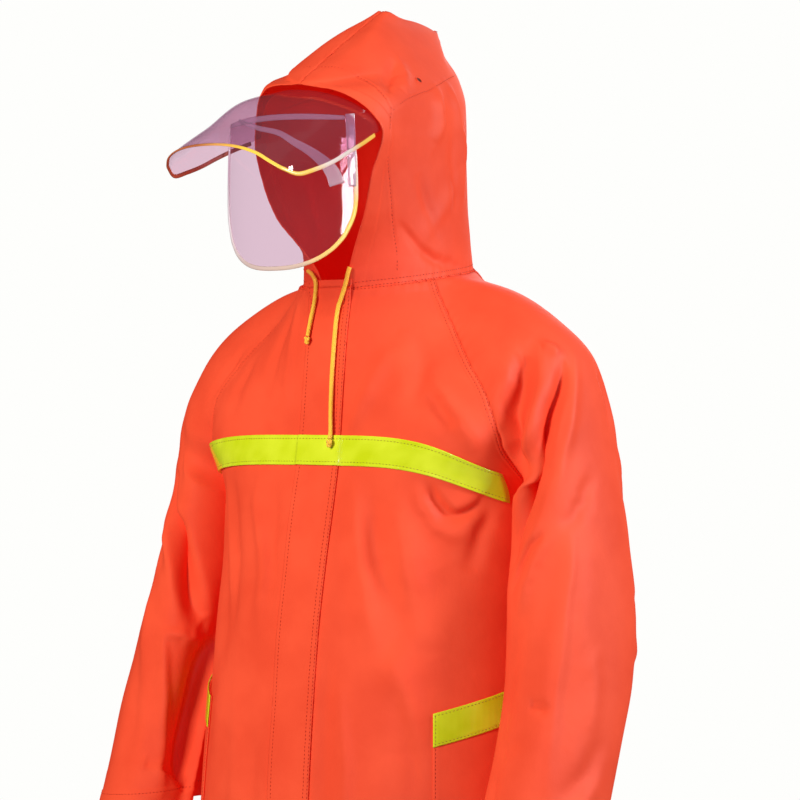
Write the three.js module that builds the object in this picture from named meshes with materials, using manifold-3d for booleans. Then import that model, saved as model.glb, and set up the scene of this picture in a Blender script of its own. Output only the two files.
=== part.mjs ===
// Hooded raincoat with a clear visor, filled out as it is worn, with nobody in it.
// Millimetres, +Z up. The front faces -Y and the left sleeve is on +X.
// The origin is the centre of the neck ring, where the hood is sewn to the coat.
//
// Every cloth piece is a wall: a grid of points on its outer face, and the same points moved in by the cloth.
// The grids come from cross sections, and each section is made of Bezier arcs between seams.
import * as THREE from "three";
import { mergeVertices } from "three/addons/utils/BufferGeometryUtils.js";
import Module from "manifold-3d";

// Driving dimensions
const CLOTH = 1.6; // coated cloth with its backing
const TAPE = 1.0; // reflective tape
const CLEAR = 1.0; // clear plastic sheet
const SEAM_GAP = 0.3;
const LAY_GAP = 0.9; // from a panel to what lies on it, because both have flat facets
const PLACKET_WIDTH = 60;
const PLACKET_TOP_Z = -5;
const HEM_Z = -775;
const TAPE_WIDTH = 35;
const TAPE_TOP_Z = -186; // top edge of the chest tape at the placket
const TAPE_DROP = { left: 42, right: 13 }; // how far that edge falls towards each armpit
const TAPE_REACH = 207; // where it meets the armpit, from the middle
const POCKET = { front: 0.505, back: 0.97, topZ: -499, rise: 79, bottomZ: -700, tape: 38 };
const CORD_DIAMETER = 5;
const KNOT_DIAMETER = 9;
const BINDING_DIAMETER = 5.4;
const EYELET = { diameter: 7, x: 72, y: -40, z: 238 };
const NECK = { z: 1.3, rise: 0.14 }; // the neck seam lies in a plane that rises to the back
const BACKWARDS = new THREE.Vector3(0, 1, 0);
const SIDEWAYS = new THREE.Vector3(1, 0, 0);

// A table has a row for each section, its first column is the place of that section, and between
// sections each column follows a smooth curve.
function table(names, rows) {
  const columns = names.split(" ");
  // Where a column stops rising or falling at a row, it is level there, so it never overshoots.
  const rate = (i, c) => (rows[i + 1][c] - rows[i][c]) / (rows[i + 1][0] - rows[i][0]);
  const slope = (i, c) => {
    if (i === 0) return rate(0, c);
    if (i === rows.length - 1) return rate(i - 1, c);
    const [a, b] = [rate(i - 1, c), rate(i, c)];
    return a * b > 0 ? (2 * a * b) / (a + b) : 0;
  };
  return (at) => {
    let i = 0;
    while (i < rows.length - 2 && at > rows[i + 1][0]) i++;
    const span = rows[i + 1][0] - rows[i][0];
    const t = (at - rows[i][0]) / span;
    const out = {};
    columns.forEach((name, c) => {
      const [p, q] = [rows[i][c], rows[i + 1][c]];
      const [m, n] = [slope(i, c) * span, slope(i + 1, c) * span];
      out[name] =
        (2 * t ** 3 - 3 * t ** 2 + 1) * p +
        (t ** 3 - 2 * t ** 2 + t) * m +
        (3 * t ** 2 - 2 * t ** 3) * q +
        (t ** 3 - t ** 2) * n;
    });
    return out;
  };
}

const vec = (x, y, z) => new THREE.Vector3(x, y, z);
const mix = (a, b, t) => a + (b - a) * t;
const smooth = (t) => THREE.MathUtils.smoothstep(t, 0, 1);

function bezier(a, b, c, d, t) {
  const s = 1 - t;
  return vec(0, 0, 0)
    .addScaledVector(a, s ** 3)
    .addScaledVector(b, 3 * s * s * t)
    .addScaledVector(c, 3 * s * t * t)
    .addScaledVector(d, t ** 3);
}

// Sections of the coat. Place 0 is the neck, 1 the armpit and 2 the hem or the cuff.
// Front and back: y and z at the middle, the seam point, the way the arc runs into it, and the handle
// lengths of the arc at the middle and at the seam.
const frontSection = table("at y z seamX seamY seamZ runX runY runZ middle side", [
  [0, -113, -14.5, 92, -36, -3.7, 0.25, 0.96, 0.134, 46, 40],
  [0.25, -119, -62, 131, -52, -55, 0.62, 0.76, 0.05, 60, 42],
  [0.5, -124, -118, 172, -72, -105, 0.84, 0.53, 0.05, 78, 48],
  [0.7, -128, -163, 203, -79, -148, 0.72, 0.69, 0, 96, 44],
  [0.85, -133, -208, 213, -66, -197, 0.18, 0.98, 0, 112, 46],
  [1, -143, -262, 214, 0, -262, 0, 1, 0, 128, 102],
  [1.2, -156, -325, 215, 0, -325, 0, 1, 0, 124, 100],
  [1.45, -173, -425, 222, 0, -425, 0, 1, 0, 127, 107],
  [1.7, -187, -560, 231, 0, -560, 0, 1, 0, 132, 114],
  [2, -201, HEM_Z, 240, 0, HEM_Z, 0, 1, 0, 137, 122],
]);
const backSection = table("at y z seamX seamY seamZ runX runY runZ middle side", [
  [0, 113, 17.1, 80, 61, 9.8, 0.47, -0.88, -0.123, 40, 32],
  [0.25, 124, -38, 132, 84, -40, 0.8, -0.58, -0.12, 62, 38],
  [0.5, 134, -100, 176, 95, -102, 0.88, -0.46, -0.05, 80, 46],
  [0.7, 141, -152, 203, 86, -150, 0.7, -0.71, 0, 98, 44],
  [0.85, 146, -205, 213, 50, -199, 0.18, -0.98, 0, 112, 52],
  [1, 150, -262, 214, 0, -262, 0, -1, 0, 120, 88],
  [1.2, 153, -325, 215, 0, -325, 0, -1, 0, 122, 92],
  [1.45, 156, -425, 222, 0, -425, 0, -1, 0, 126, 95],
  [1.7, 160, -560, 231, 0, -560, 0, -1, 0, 131, 98],
  [2, 165, HEM_Z, 240, 0, HEM_Z, 0, -1, 0, 136, 102],
]);
// The sleeve above the armpit: its top point, the way it leaves the front and back seams, the handle
// lengths there, and at the top. Bulge is added to the handle at the front seam.
const sleeveCap = table("at topX topY topZ outX outY outZ seam top bulge", [
  [0, 94.2, 14, 3.3, 0.3, 0.95, 0.133, 17, 20, 0],
  [0.25, 163, 12, -15, 0.72, 0.62, 0.3, 30, 34, 0],
  [0.5, 227, 12, -50, 0.86, 0.3, 0.4, 40, 44, 0],
  [0.7, 268, 17, -90, 0.92, 0.1, 0.4, 44, 52, 0],
  [0.85, 286, 15, -140, 0.8, -0.42, 0.18, 56, 70, 8],
  [1, 300, 8, -204, 0, -1, 0, 100, 102, 30],
]);
// The sleeve below the armpit: the underarm seam, the outermost point, the handle length that gives
// its depth, and how far it is turned, in degrees.
const sleeveTube = table("at x y z outerX outerY outerZ depth bulge turn", [
  [1, 214.8, 0, -262, 300, 8, -204, 100, 30, 0],
  [1.25, 218, -12, -335, 320, -12, -300, 111, 2, 6],
  [1.5, 227, -24, -405, 335, -26, -385, 111, 0, 10],
  [1.7, 231, -40, -475, 342, -43, -462, 107, 0, 10],
  [1.85, 229, -64, -540, 347, -68, -535, 103, 0, 8],
  [2, 225, -101, -634, 350, -106, -645, 99, 0, 6],
]);

// Large folds, as lines on the cloth: both ends, the width and the depth, below 0 for a trough.
const foldLines = {
  left: [
    [268, -62, -150, 258, -78, -262, 15, -7],
    [258, -78, -262, 250, -84, -330, 14, -5],
    [300, -40, -150, 284, -78, -235, 14, -6],
    [284, -78, -235, 243, -86, -318, 15, -7],
    [318, -58, -330, 300, -92, -520, 26, 6],
    [262, -70, -420, 262, -112, -560, 20, -5],
    [318, 20, -135, 330, 15, -190, 12, -4],
    [150, -120, -270, 172, -105, -330, 22, -6],
    [172, -105, -330, 120, -150, -420, 24, -5],
    [95, -150, -360, 140, -150, -500, 26, 5],
    [190, -40, -420, 215, -60, -640, 30, -5],
    [290, 60, -240, 250, 75, -330, 16, -6],
    [310, 60, -390, 270, 60, -450, 18, -5],
    [120, 120, -220, 60, 150, -420, 30, -6],
    [185, 100, -300, 200, 110, -600, 34, 6],
    [60, 150, -420, 90, 155, -720, 36, -5],
  ],
  right: [
    [-278, -70, -165, -262, -84, -262, 16, -7],
    [-300, -60, -250, -318, -66, -330, 15, -6],
    [-318, -66, -330, -270, -92, -420, 16, -7],
    [-330, -70, -440, -338, -105, -600, 24, 6],
    [-270, -80, -430, -290, -140, -590, 20, -5],
    [-190, -95, -262, -170, -120, -300, 18, -7],
    [-165, -125, -330, -120, -150, -470, 26, -5],
    [-110, -155, -380, -150, -150, -640, 28, 5],
    [-290, 60, -240, -250, 75, -330, 16, -6],
    [-312, 60, -380, -270, 60, -450, 18, -5],
    [-130, 115, -200, -70, 150, -380, 30, -6],
    [-190, 100, -320, -190, 115, -640, 34, 6],
    [-70, 150, -400, -110, 150, -700, 36, -5],
  ],
};
const FOLDS = [...foldLines.left, ...foldLines.right].map(
  ([x0, y0, z0, x1, y1, z1, width, depth]) => {
    const line = new THREE.Line3(vec(x0, y0, z0), vec(x1, y1, z1));
    return { line, width, depth };
  },
);

// How far the cloth stands out, or in, at a point near the folds.
function foldDepth(point) {
  let sum = 0;
  for (const { line, width, depth } of FOLDS) {
    const t = line.closestPointToPointParameter(point, true);
    const gap = line.at(t, vec(0, 0, 0)).distanceTo(point);
    sum += depth * Math.exp(-((gap / width) ** 2)) * Math.cos((t - 0.5) * 1.9);
  }
  return sum;
}

// The rows next to the neck end exactly on the plane of the neck seam.
function toNeckPlane(point, at) {
  if (at < 0.06) point.z = mix(NECK.z + NECK.rise * point.y, point.z, at / 0.06);
  return point;
}

// A point of the half section from the middle, u = 0, to the raglan or side seam, u = 1.
function bodyPoint(section, u, at) {
  const s = section(at);
  const run = vec(s.runX, s.runY, s.runZ).normalize();
  const middle = vec(0, s.y, s.z);
  const seam = vec(s.seamX, s.seamY, s.seamZ);
  const fromMiddle = middle.clone().addScaledVector(SIDEWAYS, s.middle);
  return toNeckPlane(bezier(middle, fromMiddle, seam.clone().addScaledVector(run, -s.side), seam, u), at);
}

// A point of the sleeve ring, from the front seam, u = 0, over the top to the back seam, u = 1.
function sleevePoint(u, at) {
  let front, back, top, out, lead, seamHandle, topHandle, bulge;
  if (at < 1) {
    const [f, b, cap] = [frontSection(at), backSection(at), sleeveCap(at)];
    const apart = vec(SEAM_GAP * 2 * at * at, 0, 0);
    front = vec(f.seamX, f.seamY, f.seamZ).add(apart);
    back = vec(b.seamX, b.seamY, b.seamZ).add(apart);
    top = vec(cap.topX, cap.topY, cap.topZ);
    out = vec(cap.outX, cap.outY, cap.outZ).normalize();
    lead = BACKWARDS;
    [seamHandle, topHandle, bulge] = [cap.seam, cap.top, cap.bulge];
  } else {
    const tube = sleeveTube(at);
    const turn = THREE.MathUtils.degToRad(tube.turn);
    front = back = vec(tube.x, tube.y, tube.z);
    top = vec(tube.outerX, tube.outerY, tube.outerZ);
    lead = vec(Math.sin(turn), Math.cos(turn), 0);
    out = lead.clone().negate();
    seamHandle = topHandle = tube.depth;
    bulge = tube.bulge;
  }
  if (u <= 0.5) {
    const leave = front.clone().addScaledVector(out, seamHandle + bulge);
    const arrive = top.clone().addScaledVector(lead, -topHandle);
    return toNeckPlane(bezier(front, leave, arrive, top, u * 2), at);
  }
  const outBack = at < 1 ? vec(out.x, -out.y, out.z) : out.clone().negate();
  const leave = back.clone().addScaledVector(outBack, seamHandle);
  const arrive = top.clone().addScaledVector(lead, topHandle);
  return toNeckPlane(bezier(back, leave, arrive, top, 2 - u * 2), at);
}

// The hood opening above the temples is an arch, from the left temple to the forehead.
const ARCH = { width: 95, sideY: -135, sideZ: 160, topY: -168, topZ: 220, power: 2.3 };
function archPoint(arch, turn) {
  const [c, s] = [Math.cos(turn), Math.sin(turn)];
  return vec(
    arch.width * Math.max(c, 0) ** (2 / arch.power),
    mix(arch.sideY, arch.topY, s * s),
    mix(arch.sideZ, arch.topZ, s ** (2 / arch.power)),
  );
}
const browAt = (share) => archPoint(ARCH, (share * Math.PI) / 2);
const [brow1, brow2, brow3] = [browAt(0), browAt(0.4), browAt(0.72)];

// Hood sections, from the neck, 0, to the ridge, 10. Each starts on the front edge, or on the middle
// seam above the forehead, passes the side and ends on the middle seam behind. Heading is the way it
// leaves the start: 0 is outwards and 90 is back.
const hoodSection = table("at x y z heading sideX sideY sideZ backY backZ", [
  [0, 20, -109.5, -12, 16, 95, 0, 1, 113, 17],
  [1, 41, -119.5, 30, 50, 92, 2, 38, 107, 62],
  [2, 67, -132, 72, 76, 90, -4, 84, 105, 102],
  [3, 82, -138, 115, 86, 90, -14, 128, 106, 146],
  [4, brow1.x, brow1.y, brow1.z, 94, 92, -26, 168, 108, 188],
  [5, brow2.x, brow2.y, brow2.z, 58, 91, -26, 205, 107, 226],
  [6, brow3.x, brow3.y, brow3.z, 32, 82, -22, 230, 101, 256],
  [7, 0, ARCH.topY, ARCH.topZ, 12, 64, -16, 252, 91, 282],
  [8, 0, -123, 251, 4, 39, -8, 282, 92, 300],
  [9, 0, -66, 287, 2, 19, 6, 303, 96, 306],
  [10, 0, -12, 320, 0, 3, 36, 315, 94, 307],
]);
const HOOD_LEAN = 0.11; // the hood sits a little lower over the left brow than the right

function lean(point, share = 1) {
  point.z -= HOOD_LEAN * share * point.x * smooth((point.z - 155) / 50);
  return point;
}

function hoodPoint(u, at) {
  const s = hoodSection(at);
  const heading = THREE.MathUtils.degToRad(s.heading);
  const start = vec(s.x, s.y, s.z);
  const side = vec(s.sideX, s.sideY, s.sideZ);
  const back = vec(0, s.backY, s.backZ);
  const leave = start.distanceTo(side) * 0.36;
  const pass = 0.58 * (s.backY - s.sideY);
  if (u < 0.5) {
    const out = vec(Math.cos(heading), Math.sin(heading), 0.12);
    const near = start.clone().addScaledVector(out, leave);
    return bezier(start, near, side.clone().addScaledVector(BACKWARDS, -pass * 0.9), side, u * 2);
  }
  const far = back.clone().addScaledVector(SIDEWAYS, 0.58 * s.sideX);
  return bezier(side, side.clone().addScaledVector(BACKWARDS, pass), far, back, u * 2 - 1);
}

// The clear brim: arches from inside the hood's edge, 0, to its front edge, 1. The right end of an arch
// is rounder than the left by what is added to its power.
const brimSection = table("at width sideY sideZ topY topZ power rounder", [
  [0, 89, -131, 164, -160, 213, 2.3, 0],
  [0.3, 100.5, -187, 142, -212, 198, 3.1, 0],
  [0.6, 103, -243, 119, -262, 170, 2.9, 0],
  [0.85, 99, -288, 108, -302, 151, 2.2, 0.4],
  [1, 90, -309, 110, -323, 139, 1.75, 0.9],
]);
const BRIM_SKEW = { back: 0.13, down: 0.05 }; // its front edge reaches further out and down on the left
const BRIM_CORNER = 0.12; // how far its rounded corners fall short of the front edge
function brimPoint(u, share) {
  const turn = u * Math.PI;
  const corner = Math.max(0, (Math.abs(u * 2 - 1) - 0.7) / 0.3);
  const at = share * (1 - BRIM_CORNER * corner ** 2);
  const arch = brimSection(at);
  arch.power += arch.rounder * u;
  const point = archPoint(arch, Math.min(turn, Math.PI - turn));
  if (turn > Math.PI / 2) point.x *= -1;
  point.y -= BRIM_SKEW.back * point.x * at;
  point.z -= BRIM_SKEW.down * point.x * at;
  return lean(point, (1 - at) ** 2);
}

// The clear face shield: a U-shaped sheet, curved round the face, below the brim.
const SHIELD = { halfWidth: 95, topHalfWidth: 88.4, frontY: -214, wrap: 31, topZ: 181, bottomZ: 6, power: 2.5 };
function shieldPoint(u, v) {
  const side = u * 2 - 1;
  const low = mix(SHIELD.bottomZ, 100, 1 - (1 - Math.abs(side) ** SHIELD.power) ** (1 / SHIELD.power));
  const z = mix(low, SHIELD.topZ - 5 * side * side, v);
  const width = mix(SHIELD.halfWidth, SHIELD.topHalfWidth, smooth((z - 90) / 95));
  const x = side * width;
  return vec(x, SHIELD.frontY + SHIELD.wrap * (x / SHIELD.halfWidth) ** 2, z);
}

// Mesh building
const flip = (point) => vec(-point.x, point.y, point.z);

// A grid of points, columns by rows, with the points that coincide joined.
function gridSurface(pointAt, columns, rows) {
  const [keys, points, faces] = [new Map(), [], []];
  const index = [];
  for (let j = 0; j <= rows; j++)
    for (let i = 0; i <= columns; i++) {
      const point = pointAt(i / columns, j / rows);
      const key = [point.x, point.y, point.z].map((n) => Math.round(n * 200)).join();
      if (!keys.has(key)) keys.set(key, points.push(point) - 1);
      index.push(keys.get(key));
    }
  const at = (i, j) => index[j * (columns + 1) + i];
  for (let j = 0; j < rows; j++)
    for (let i = 0; i < columns; i++) {
      const [a, b, c, d] = [at(i, j), at(i + 1, j), at(i + 1, j + 1), at(i, j + 1)];
      for (const face of [[a, b, c], [a, c, d]])
        if (new Set(face).size === 3) faces.push(face);
    }
  return { points, faces };
}

function normalsOf({ points, faces }) {
  const normals = points.map(() => vec(0, 0, 0));
  for (const face of faces) {
    const [a, b, c] = face.map((i) => points[i]);
    const normal = vec(0, 0, 0).crossVectors(b.clone().sub(a), c.clone().sub(a));
    face.forEach((i) => normals[i].add(normal));
  }
  return normals.map((normal) => normal.normalize());
}

// A closed wall from a surface: outer face at `lift`, inner face one thickness further in.
// `shape` is a further move outwards, and `keep` holds points on their side of a seam.
function wallGeometry(surface, thickness, lift = 0, shape = () => 0, keep = (p) => p) {
  const { points, faces } = surface;
  const normals = normalsOf(surface);
  const outer = points.map((p, i) => keep(p.clone().addScaledVector(normals[i], lift + shape(p))));
  const folded = normalsOf({ points: outer, faces });
  const inner = outer.map((p, i) => keep(p.clone().addScaledVector(folded[i], -thickness)));
  const edges = new Set();
  for (const [a, b, c] of faces)
    for (const [p, q] of [[a, b], [b, c], [c, a]])
      if (!edges.delete(`${q},${p}`)) edges.add(`${p},${q}`);
  const n = points.length;
  const triangles = [...faces, ...faces.map(([a, b, c]) => [c + n, b + n, a + n])];
  for (const edge of edges) {
    const [p, q] = edge.split(",").map(Number);
    triangles.push([q, p, p + n], [q, p + n, q + n]);
  }
  return geometryOf([...outer, ...inner], triangles);
}

function geometryOf(points, triangles) {
  const geometry = new THREE.BufferGeometry().setFromPoints(points);
  geometry.setIndex(triangles.flat());
  return geometry;
}

// A tube along a smooth curve through some points.
function tubeGeometry(points, diameter, steps, sides = 8) {
  const ring = new THREE.Shape();
  ring.absarc(0, 0, diameter / 2, 0, Math.PI * 2);
  const outline = new THREE.Shape(ring.getPoints(sides).slice(0, sides));
  const extrudePath = new THREE.CatmullRomCurve3(points, false, "centripetal");
  return new THREE.ExtrudeGeometry(outline, { steps, bevelEnabled: false, extrudePath });
}

const wasm = await Module();
wasm.setup();
function solidOf(geometry) {
  const plain = geometry.clone();
  plain.deleteAttribute("normal");
  plain.deleteAttribute("uv");
  const merged = mergeVertices(plain, 1e-3);
  const vertProperties = merged.attributes.position.array;
  const triVerts = new Uint32Array(merged.index.array);
  return new wasm.Manifold(new wasm.Mesh({ numProp: 3, vertProperties, triVerts }));
}
function cut(geometry, tool) {
  const { numProp, vertProperties, triVerts } = solidOf(geometry).subtract(solidOf(tool)).getMesh();
  const made = new THREE.BufferGeometry();
  made.setAttribute("position", new THREE.BufferAttribute(vertProperties, numProp));
  return made.setIndex(new THREE.BufferAttribute(triVerts, 1));
}

// Finishes
const finish = (color, roughness, extra = {}) =>
  new THREE.MeshStandardMaterial({ color, roughness, metalness: 0, side: THREE.DoubleSide, ...extra });
const finishes = {
  cloth: finish(0xff4a2c, 0.5),
  tape: finish(0xe2f02e, 0.3),
  clear: finish(0xe6dff0, 0.08, { transparent: true, opacity: 0.35 }),
  binding: finish(0xffcf4e, 0.45),
  cord: finish(0xffc53a, 0.6),
};
const coat = new THREE.Group();

function add(name, geometry, finishName) {
  geometry.computeVertexNormals();
  const mesh = new THREE.Mesh(geometry, finishes[finishName]);
  mesh.name = name;
  coat.add(mesh);
}

// A right piece is a left one turned over. Its columns run the other way, so its faces still point out.
const sides = ["left", "right"];
const sided = (pointAt, side) => (side === "left" ? pointAt : (u, v) => flip(pointAt(1 - u, v)));
const NECK_SHARE = 0.003; // where the coat's pieces start, just under the neck seam
const SEAM_SHARE = 0.9993; // where the panels end, just short of a raglan or side seam

// Holds a piece on its own side of the middle.
const keepSide = (side) => (point) => {
  if (side === "left") point.x = Math.max(point.x, SEAM_GAP / 2);
  else point.x = Math.min(point.x, -SEAM_GAP / 2);
  return point;
};

// Rows run up, from hem to neck, and columns from the middle to the seam.
function frontPanel(side) {
  const pointAt = (u, v) => bodyPoint(frontSection, u * SEAM_SHARE, mix(2, NECK_SHARE, v));
  const surface = gridSurface(sided(pointAt, side), 14, 24);
  add(`front_${side}`, wallGeometry(surface, CLOTH, 0, foldDepth, keepSide(side)), "cloth");
}

function backPanel() {
  const pointAt = (u, v) => {
    const across = u * 2 - 1;
    const point = bodyPoint(backSection, Math.abs(across) * SEAM_SHARE, mix(2, NECK_SHARE, v));
    return across < 0 ? point : flip(point);
  };
  add("back", wallGeometry(gridSurface(pointAt, 24, 20), CLOTH, 0, foldDepth), "cloth");
}

// The sleeve is open along the raglan seams above the armpit, and a closed tube below it.
function sleeve(side) {
  const pointAt = (u, v) => {
    const at = mix(2, NECK_SHARE, v);
    return sleevePoint(at < 1 ? mix(0.003, 0.997, u) : u, at);
  };
  const surface = gridSurface(sided(pointAt, side), 20, 24);
  add(`sleeve_${side}`, wallGeometry(surface, CLOTH, 0, foldDepth), "cloth");
}

// Half of the hood: columns from the front edge to the middle seam behind, rows from neck to ridge.
// At the neck, the right half reaches further across than the left.
const HOOD_LAP = 15;
function hoodOuter(u, at, sign) {
  const point = hoodPoint(u, at);
  if (sign < 0) point.x -= HOOD_LAP * (1 - smooth((point.z + 15) / 90)) * Math.max(0, 1 - 2 * u) ** 2;
  if (at < 0.5) point.z = mix(NECK.z + NECK.rise * point.y + SEAM_GAP, point.z, smooth(at * 2));
  point.x *= sign;
  return lean(point);
}
function hood(side) {
  const rows = 10;
  const left = (u, v) => hoodOuter(u, v * rows, 1);
  const right = (u, v) => hoodOuter(1 - u, v * rows, -1);
  const surface = gridSurface(side === "left" ? left : right, 14, 20);
  const wall = wallGeometry(surface, CLOTH, 0, foldDepth, keepSide(side));
  const punch = new THREE.CylinderGeometry(EYELET.diameter / 2, EYELET.diameter / 2, 40, 12);
  const sign = side === "left" ? 1 : -1;
  punch.rotateZ((-sign * Math.PI) / 3);
  punch.translate(sign * EYELET.x, EYELET.y, EYELET.z - sign * HOOD_LEAN * EYELET.x);
  add(`hood_${side}`, cut(wall, punch), "cloth");
}

// What lies on the front is made from the panel's points, moved out. The place is a share across the
// panel, or a distance from the middle, and a height.
function frontAcross(u, z) {
  let [low, high] = [0, 2];
  for (let i = 0; i < 20; i++) {
    const at = (low + high) / 2;
    if (bodyPoint(frontSection, u, at).z > z) low = at;
    else high = at;
  }
  return bodyPoint(frontSection, u, low);
}
function frontAt(x, z) {
  let [low, high] = [0, SEAM_SHARE];
  for (let i = 0; i < 20; i++) {
    const u = (low + high) / 2;
    if (frontAcross(u, z).x < Math.abs(x)) low = u;
    else high = u;
  }
  return vec(x, frontAcross(low, z).y, z);
}
function layOn(name, surface, lift, thickness, finishName, step = () => 0) {
  const shape = (point) => foldDepth(point) + step(point);
  add(name, wallGeometry(surface, thickness, lift + thickness, shape), finishName);
}

const OVER_HOOD = 4; // how far the placket's top stands out, over the hood's lower edge
function placket() {
  const pointAt = (u, v) => frontAt((u - 0.5) * PLACKET_WIDTH, mix(HEM_Z + 3, PLACKET_TOP_Z, v));
  const overHood = ({ z }) => OVER_HOOD * smooth((z + 32) / 16);
  layOn("placket", gridSurface(pointAt, 4, 26), LAY_GAP, CLOTH, "cloth", overHood);
}

// The chest tape runs from armpit to armpit, over the placket.
function chestTape() {
  const pointAt = (u, v) => {
    const x = mix(-TAPE_REACH, TAPE_REACH, u);
    const drop = (x > 0 ? TAPE_DROP.left : TAPE_DROP.right) * (x / TAPE_REACH) ** 4;
    return frontAt(x, TAPE_TOP_Z - drop - TAPE_WIDTH * (1 - v));
  };
  const slope = 9;
  const step = ({ x }) =>
    (CLOTH + LAY_GAP) * (1 - smooth((Math.abs(x) - PLACKET_WIDTH / 2) / slope)) +
    3 * LAY_GAP * (x / TAPE_REACH) ** 6;
  layOn("chest_tape", gridSurface(pointAt, 42, 2), LAY_GAP, TAPE, "tape", step);
}

// A patch pocket low on each front, with a band of tape along its slanted opening.
function pocket(side) {
  const patchAt = (topGap, bottom) => (u, v) => {
    const share = mix(POCKET.front, POCKET.back, u);
    const top = POCKET.topZ + POCKET.rise * (share - POCKET.front) - topGap;
    return frontAcross(share, mix(bottom ?? top - POCKET.tape, top, v));
  };
  const patch = gridSurface(sided(patchAt(1, POCKET.bottomZ), side), 8, 8);
  const band = gridSurface(sided(patchAt(0), side), 10, 2);
  layOn(`pocket_${side}`, patch, LAY_GAP, CLOTH, "cloth");
  layOn(`pocket_tape_${side}`, band, LAY_GAP * 2 + CLOTH, TAPE, "tape");
}

// Clear visor
function brim() {
  add("brim", wallGeometry(gridSurface(brimPoint, 20, 7), CLEAR), "clear");
}
function shield() {
  add("shield", wallGeometry(gridSurface(shieldPoint, 16, 9), CLEAR), "clear");
  const hemAt = (u, v) => shieldPoint(mix(0.03, 0.97, u), mix(0.957, 0.995, v));
  add("shield_hem", wallGeometry(gridSurface(hemAt, 16, 1), CLEAR, SEAM_GAP + CLEAR), "clear");
}

// A binding follows the edge of a sheet, just off it. `edge` lists places on the sheet, in order, and
// `off` allows for how its facets and the sheet's cut the bends.
function binding(name, pointAt, edge, steps, off) {
  const reach = BINDING_DIAMETER / 2 + off;
  const path = edge.map(([u, v]) => {
    const point = pointAt(u, v);
    const inside = pointAt(mix(u, 0.5, 0.05), mix(v, 0.5, 0.08));
    return point.clone().addScaledVector(point.clone().sub(inside).normalize(), reach);
  });
  add(name, tubeGeometry(path, BINDING_DIAMETER, steps, 6), "binding");
}
const steps = (from, to, count) => Array.from({ length: count }, (_, i) => mix(from, to, i / (count - 1)));
function bindings() {
  const front = [0.04, 0.08, ...steps(0.15, 0.85, 11), 0.92, 0.96].map((u) => [u, 1]);
  const left = steps(0.1, 0.93, 6).map((v) => [0, v]);
  const right = steps(0.93, 0.1, 6).map((v) => [1, v]);
  binding("brim_binding", brimPoint, [...left, ...front, ...right], 46, 0.2);
  const low = steps(0.01, 0.99, 21).map((u) => [u, 0]);
  const down = [0.84, 0.6, 0.3].map((v) => [0, v]);
  const up = [0.3, 0.6, 0.84].map((v) => [1, v]);
  binding("shield_binding", shieldPoint, [...down, ...low, ...up], 40, 0.6);
}

// Drawcord: a free end on each side, out of the hood's casing and down the placket.
const CORD_ROUTES = {
  left: [
    [32.8, -116.4, 9], [31.8, -117.4, 5], [31, -118, 1], [28.5, -118.6, -9], [26.3, -118.7, -15.5],
    [24, -119, -22], [21.3, -119.6, -29.5], [19, -120.6, -37], [17.6, -122.7, -52], [17.2, -124.8, -69],
    [16.8, -126.9, -90], [16.5, -129.2, -115], [17, -131.3, -138], [18, -133.4, -160], [20, -136.1, -180],
    [20.5, -138.4, -190],
  ],
  right: [
    [-30.5, -115, 6.5], [-26, -117.2, 4.6], [-21, -119.2, 2], [-17.3, -120.6, -1.5], [-14.6, -121.6, -5],
    [-13.4, -121.8, -9.5], [-13.5, -121.6, -14], [-14.1, -121.3, -19], [-15, -121.1, -24], [-16.1, -120.9, -30],
    [-17.5, -120.9, -36], [-18.7, -121.4, -42], [-20, -121.9, -48], [-22, -123.2, -60], [-23.5, -124.3, -70],
  ],
};
const KNOT_OFF = 1.2; // the knot is thicker than the cord, so its centre lies further out
function drawcord(side) {
  const points = CORD_ROUTES[side].map(([x, y, z]) => vec(x, y, z));
  add(`drawcord_${side}`, tubeGeometry(points, CORD_DIAMETER, points.length - 1), "cord");
  const knot = new THREE.SphereGeometry(KNOT_DIAMETER / 2, 10, 8).scale(0.85, 0.75, 1);
  const end = points.at(-1);
  knot.translate(end.x, end.y - KNOT_OFF, end.z - KNOT_DIAMETER / 2 - SEAM_GAP);
  add(`drawcord_knot_${side}`, knot, "cord");
}

for (const side of sides) {
  frontPanel(side);
  sleeve(side);
  hood(side);
  pocket(side);
  drawcord(side);
}
backPanel();
placket();
chestTape();
brim();
shield();
bindings();

export default coat;
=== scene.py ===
"""Looks of a hooded raincoat with a clear visor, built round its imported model.

The coat is filled out as it is worn, with nobody in it. It faces -Y, its left sleeve is on +X, and the
origin is the centre of the neck ring. The tables and sizes of the coat are in millimetres, and a mesh is
turned to metres as it is made. Cameras, lights and materials are in metres.
"""

import math

import bmesh
import bpy
import numpy as np
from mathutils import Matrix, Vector
from mathutils.bvhtree import BVHTree


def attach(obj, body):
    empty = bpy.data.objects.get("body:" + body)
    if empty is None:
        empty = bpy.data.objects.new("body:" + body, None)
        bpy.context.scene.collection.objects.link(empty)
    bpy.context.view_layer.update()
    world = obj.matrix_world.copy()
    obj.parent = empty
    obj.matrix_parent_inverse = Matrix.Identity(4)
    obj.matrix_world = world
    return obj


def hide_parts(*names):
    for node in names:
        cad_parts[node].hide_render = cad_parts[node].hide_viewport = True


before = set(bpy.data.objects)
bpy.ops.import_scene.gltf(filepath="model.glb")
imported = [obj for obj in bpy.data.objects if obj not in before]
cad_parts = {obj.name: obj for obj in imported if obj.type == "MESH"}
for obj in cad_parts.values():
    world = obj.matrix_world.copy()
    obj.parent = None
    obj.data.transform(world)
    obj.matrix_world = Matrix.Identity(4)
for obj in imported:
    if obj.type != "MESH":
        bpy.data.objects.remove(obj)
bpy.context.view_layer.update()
MM = 0.001

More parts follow.
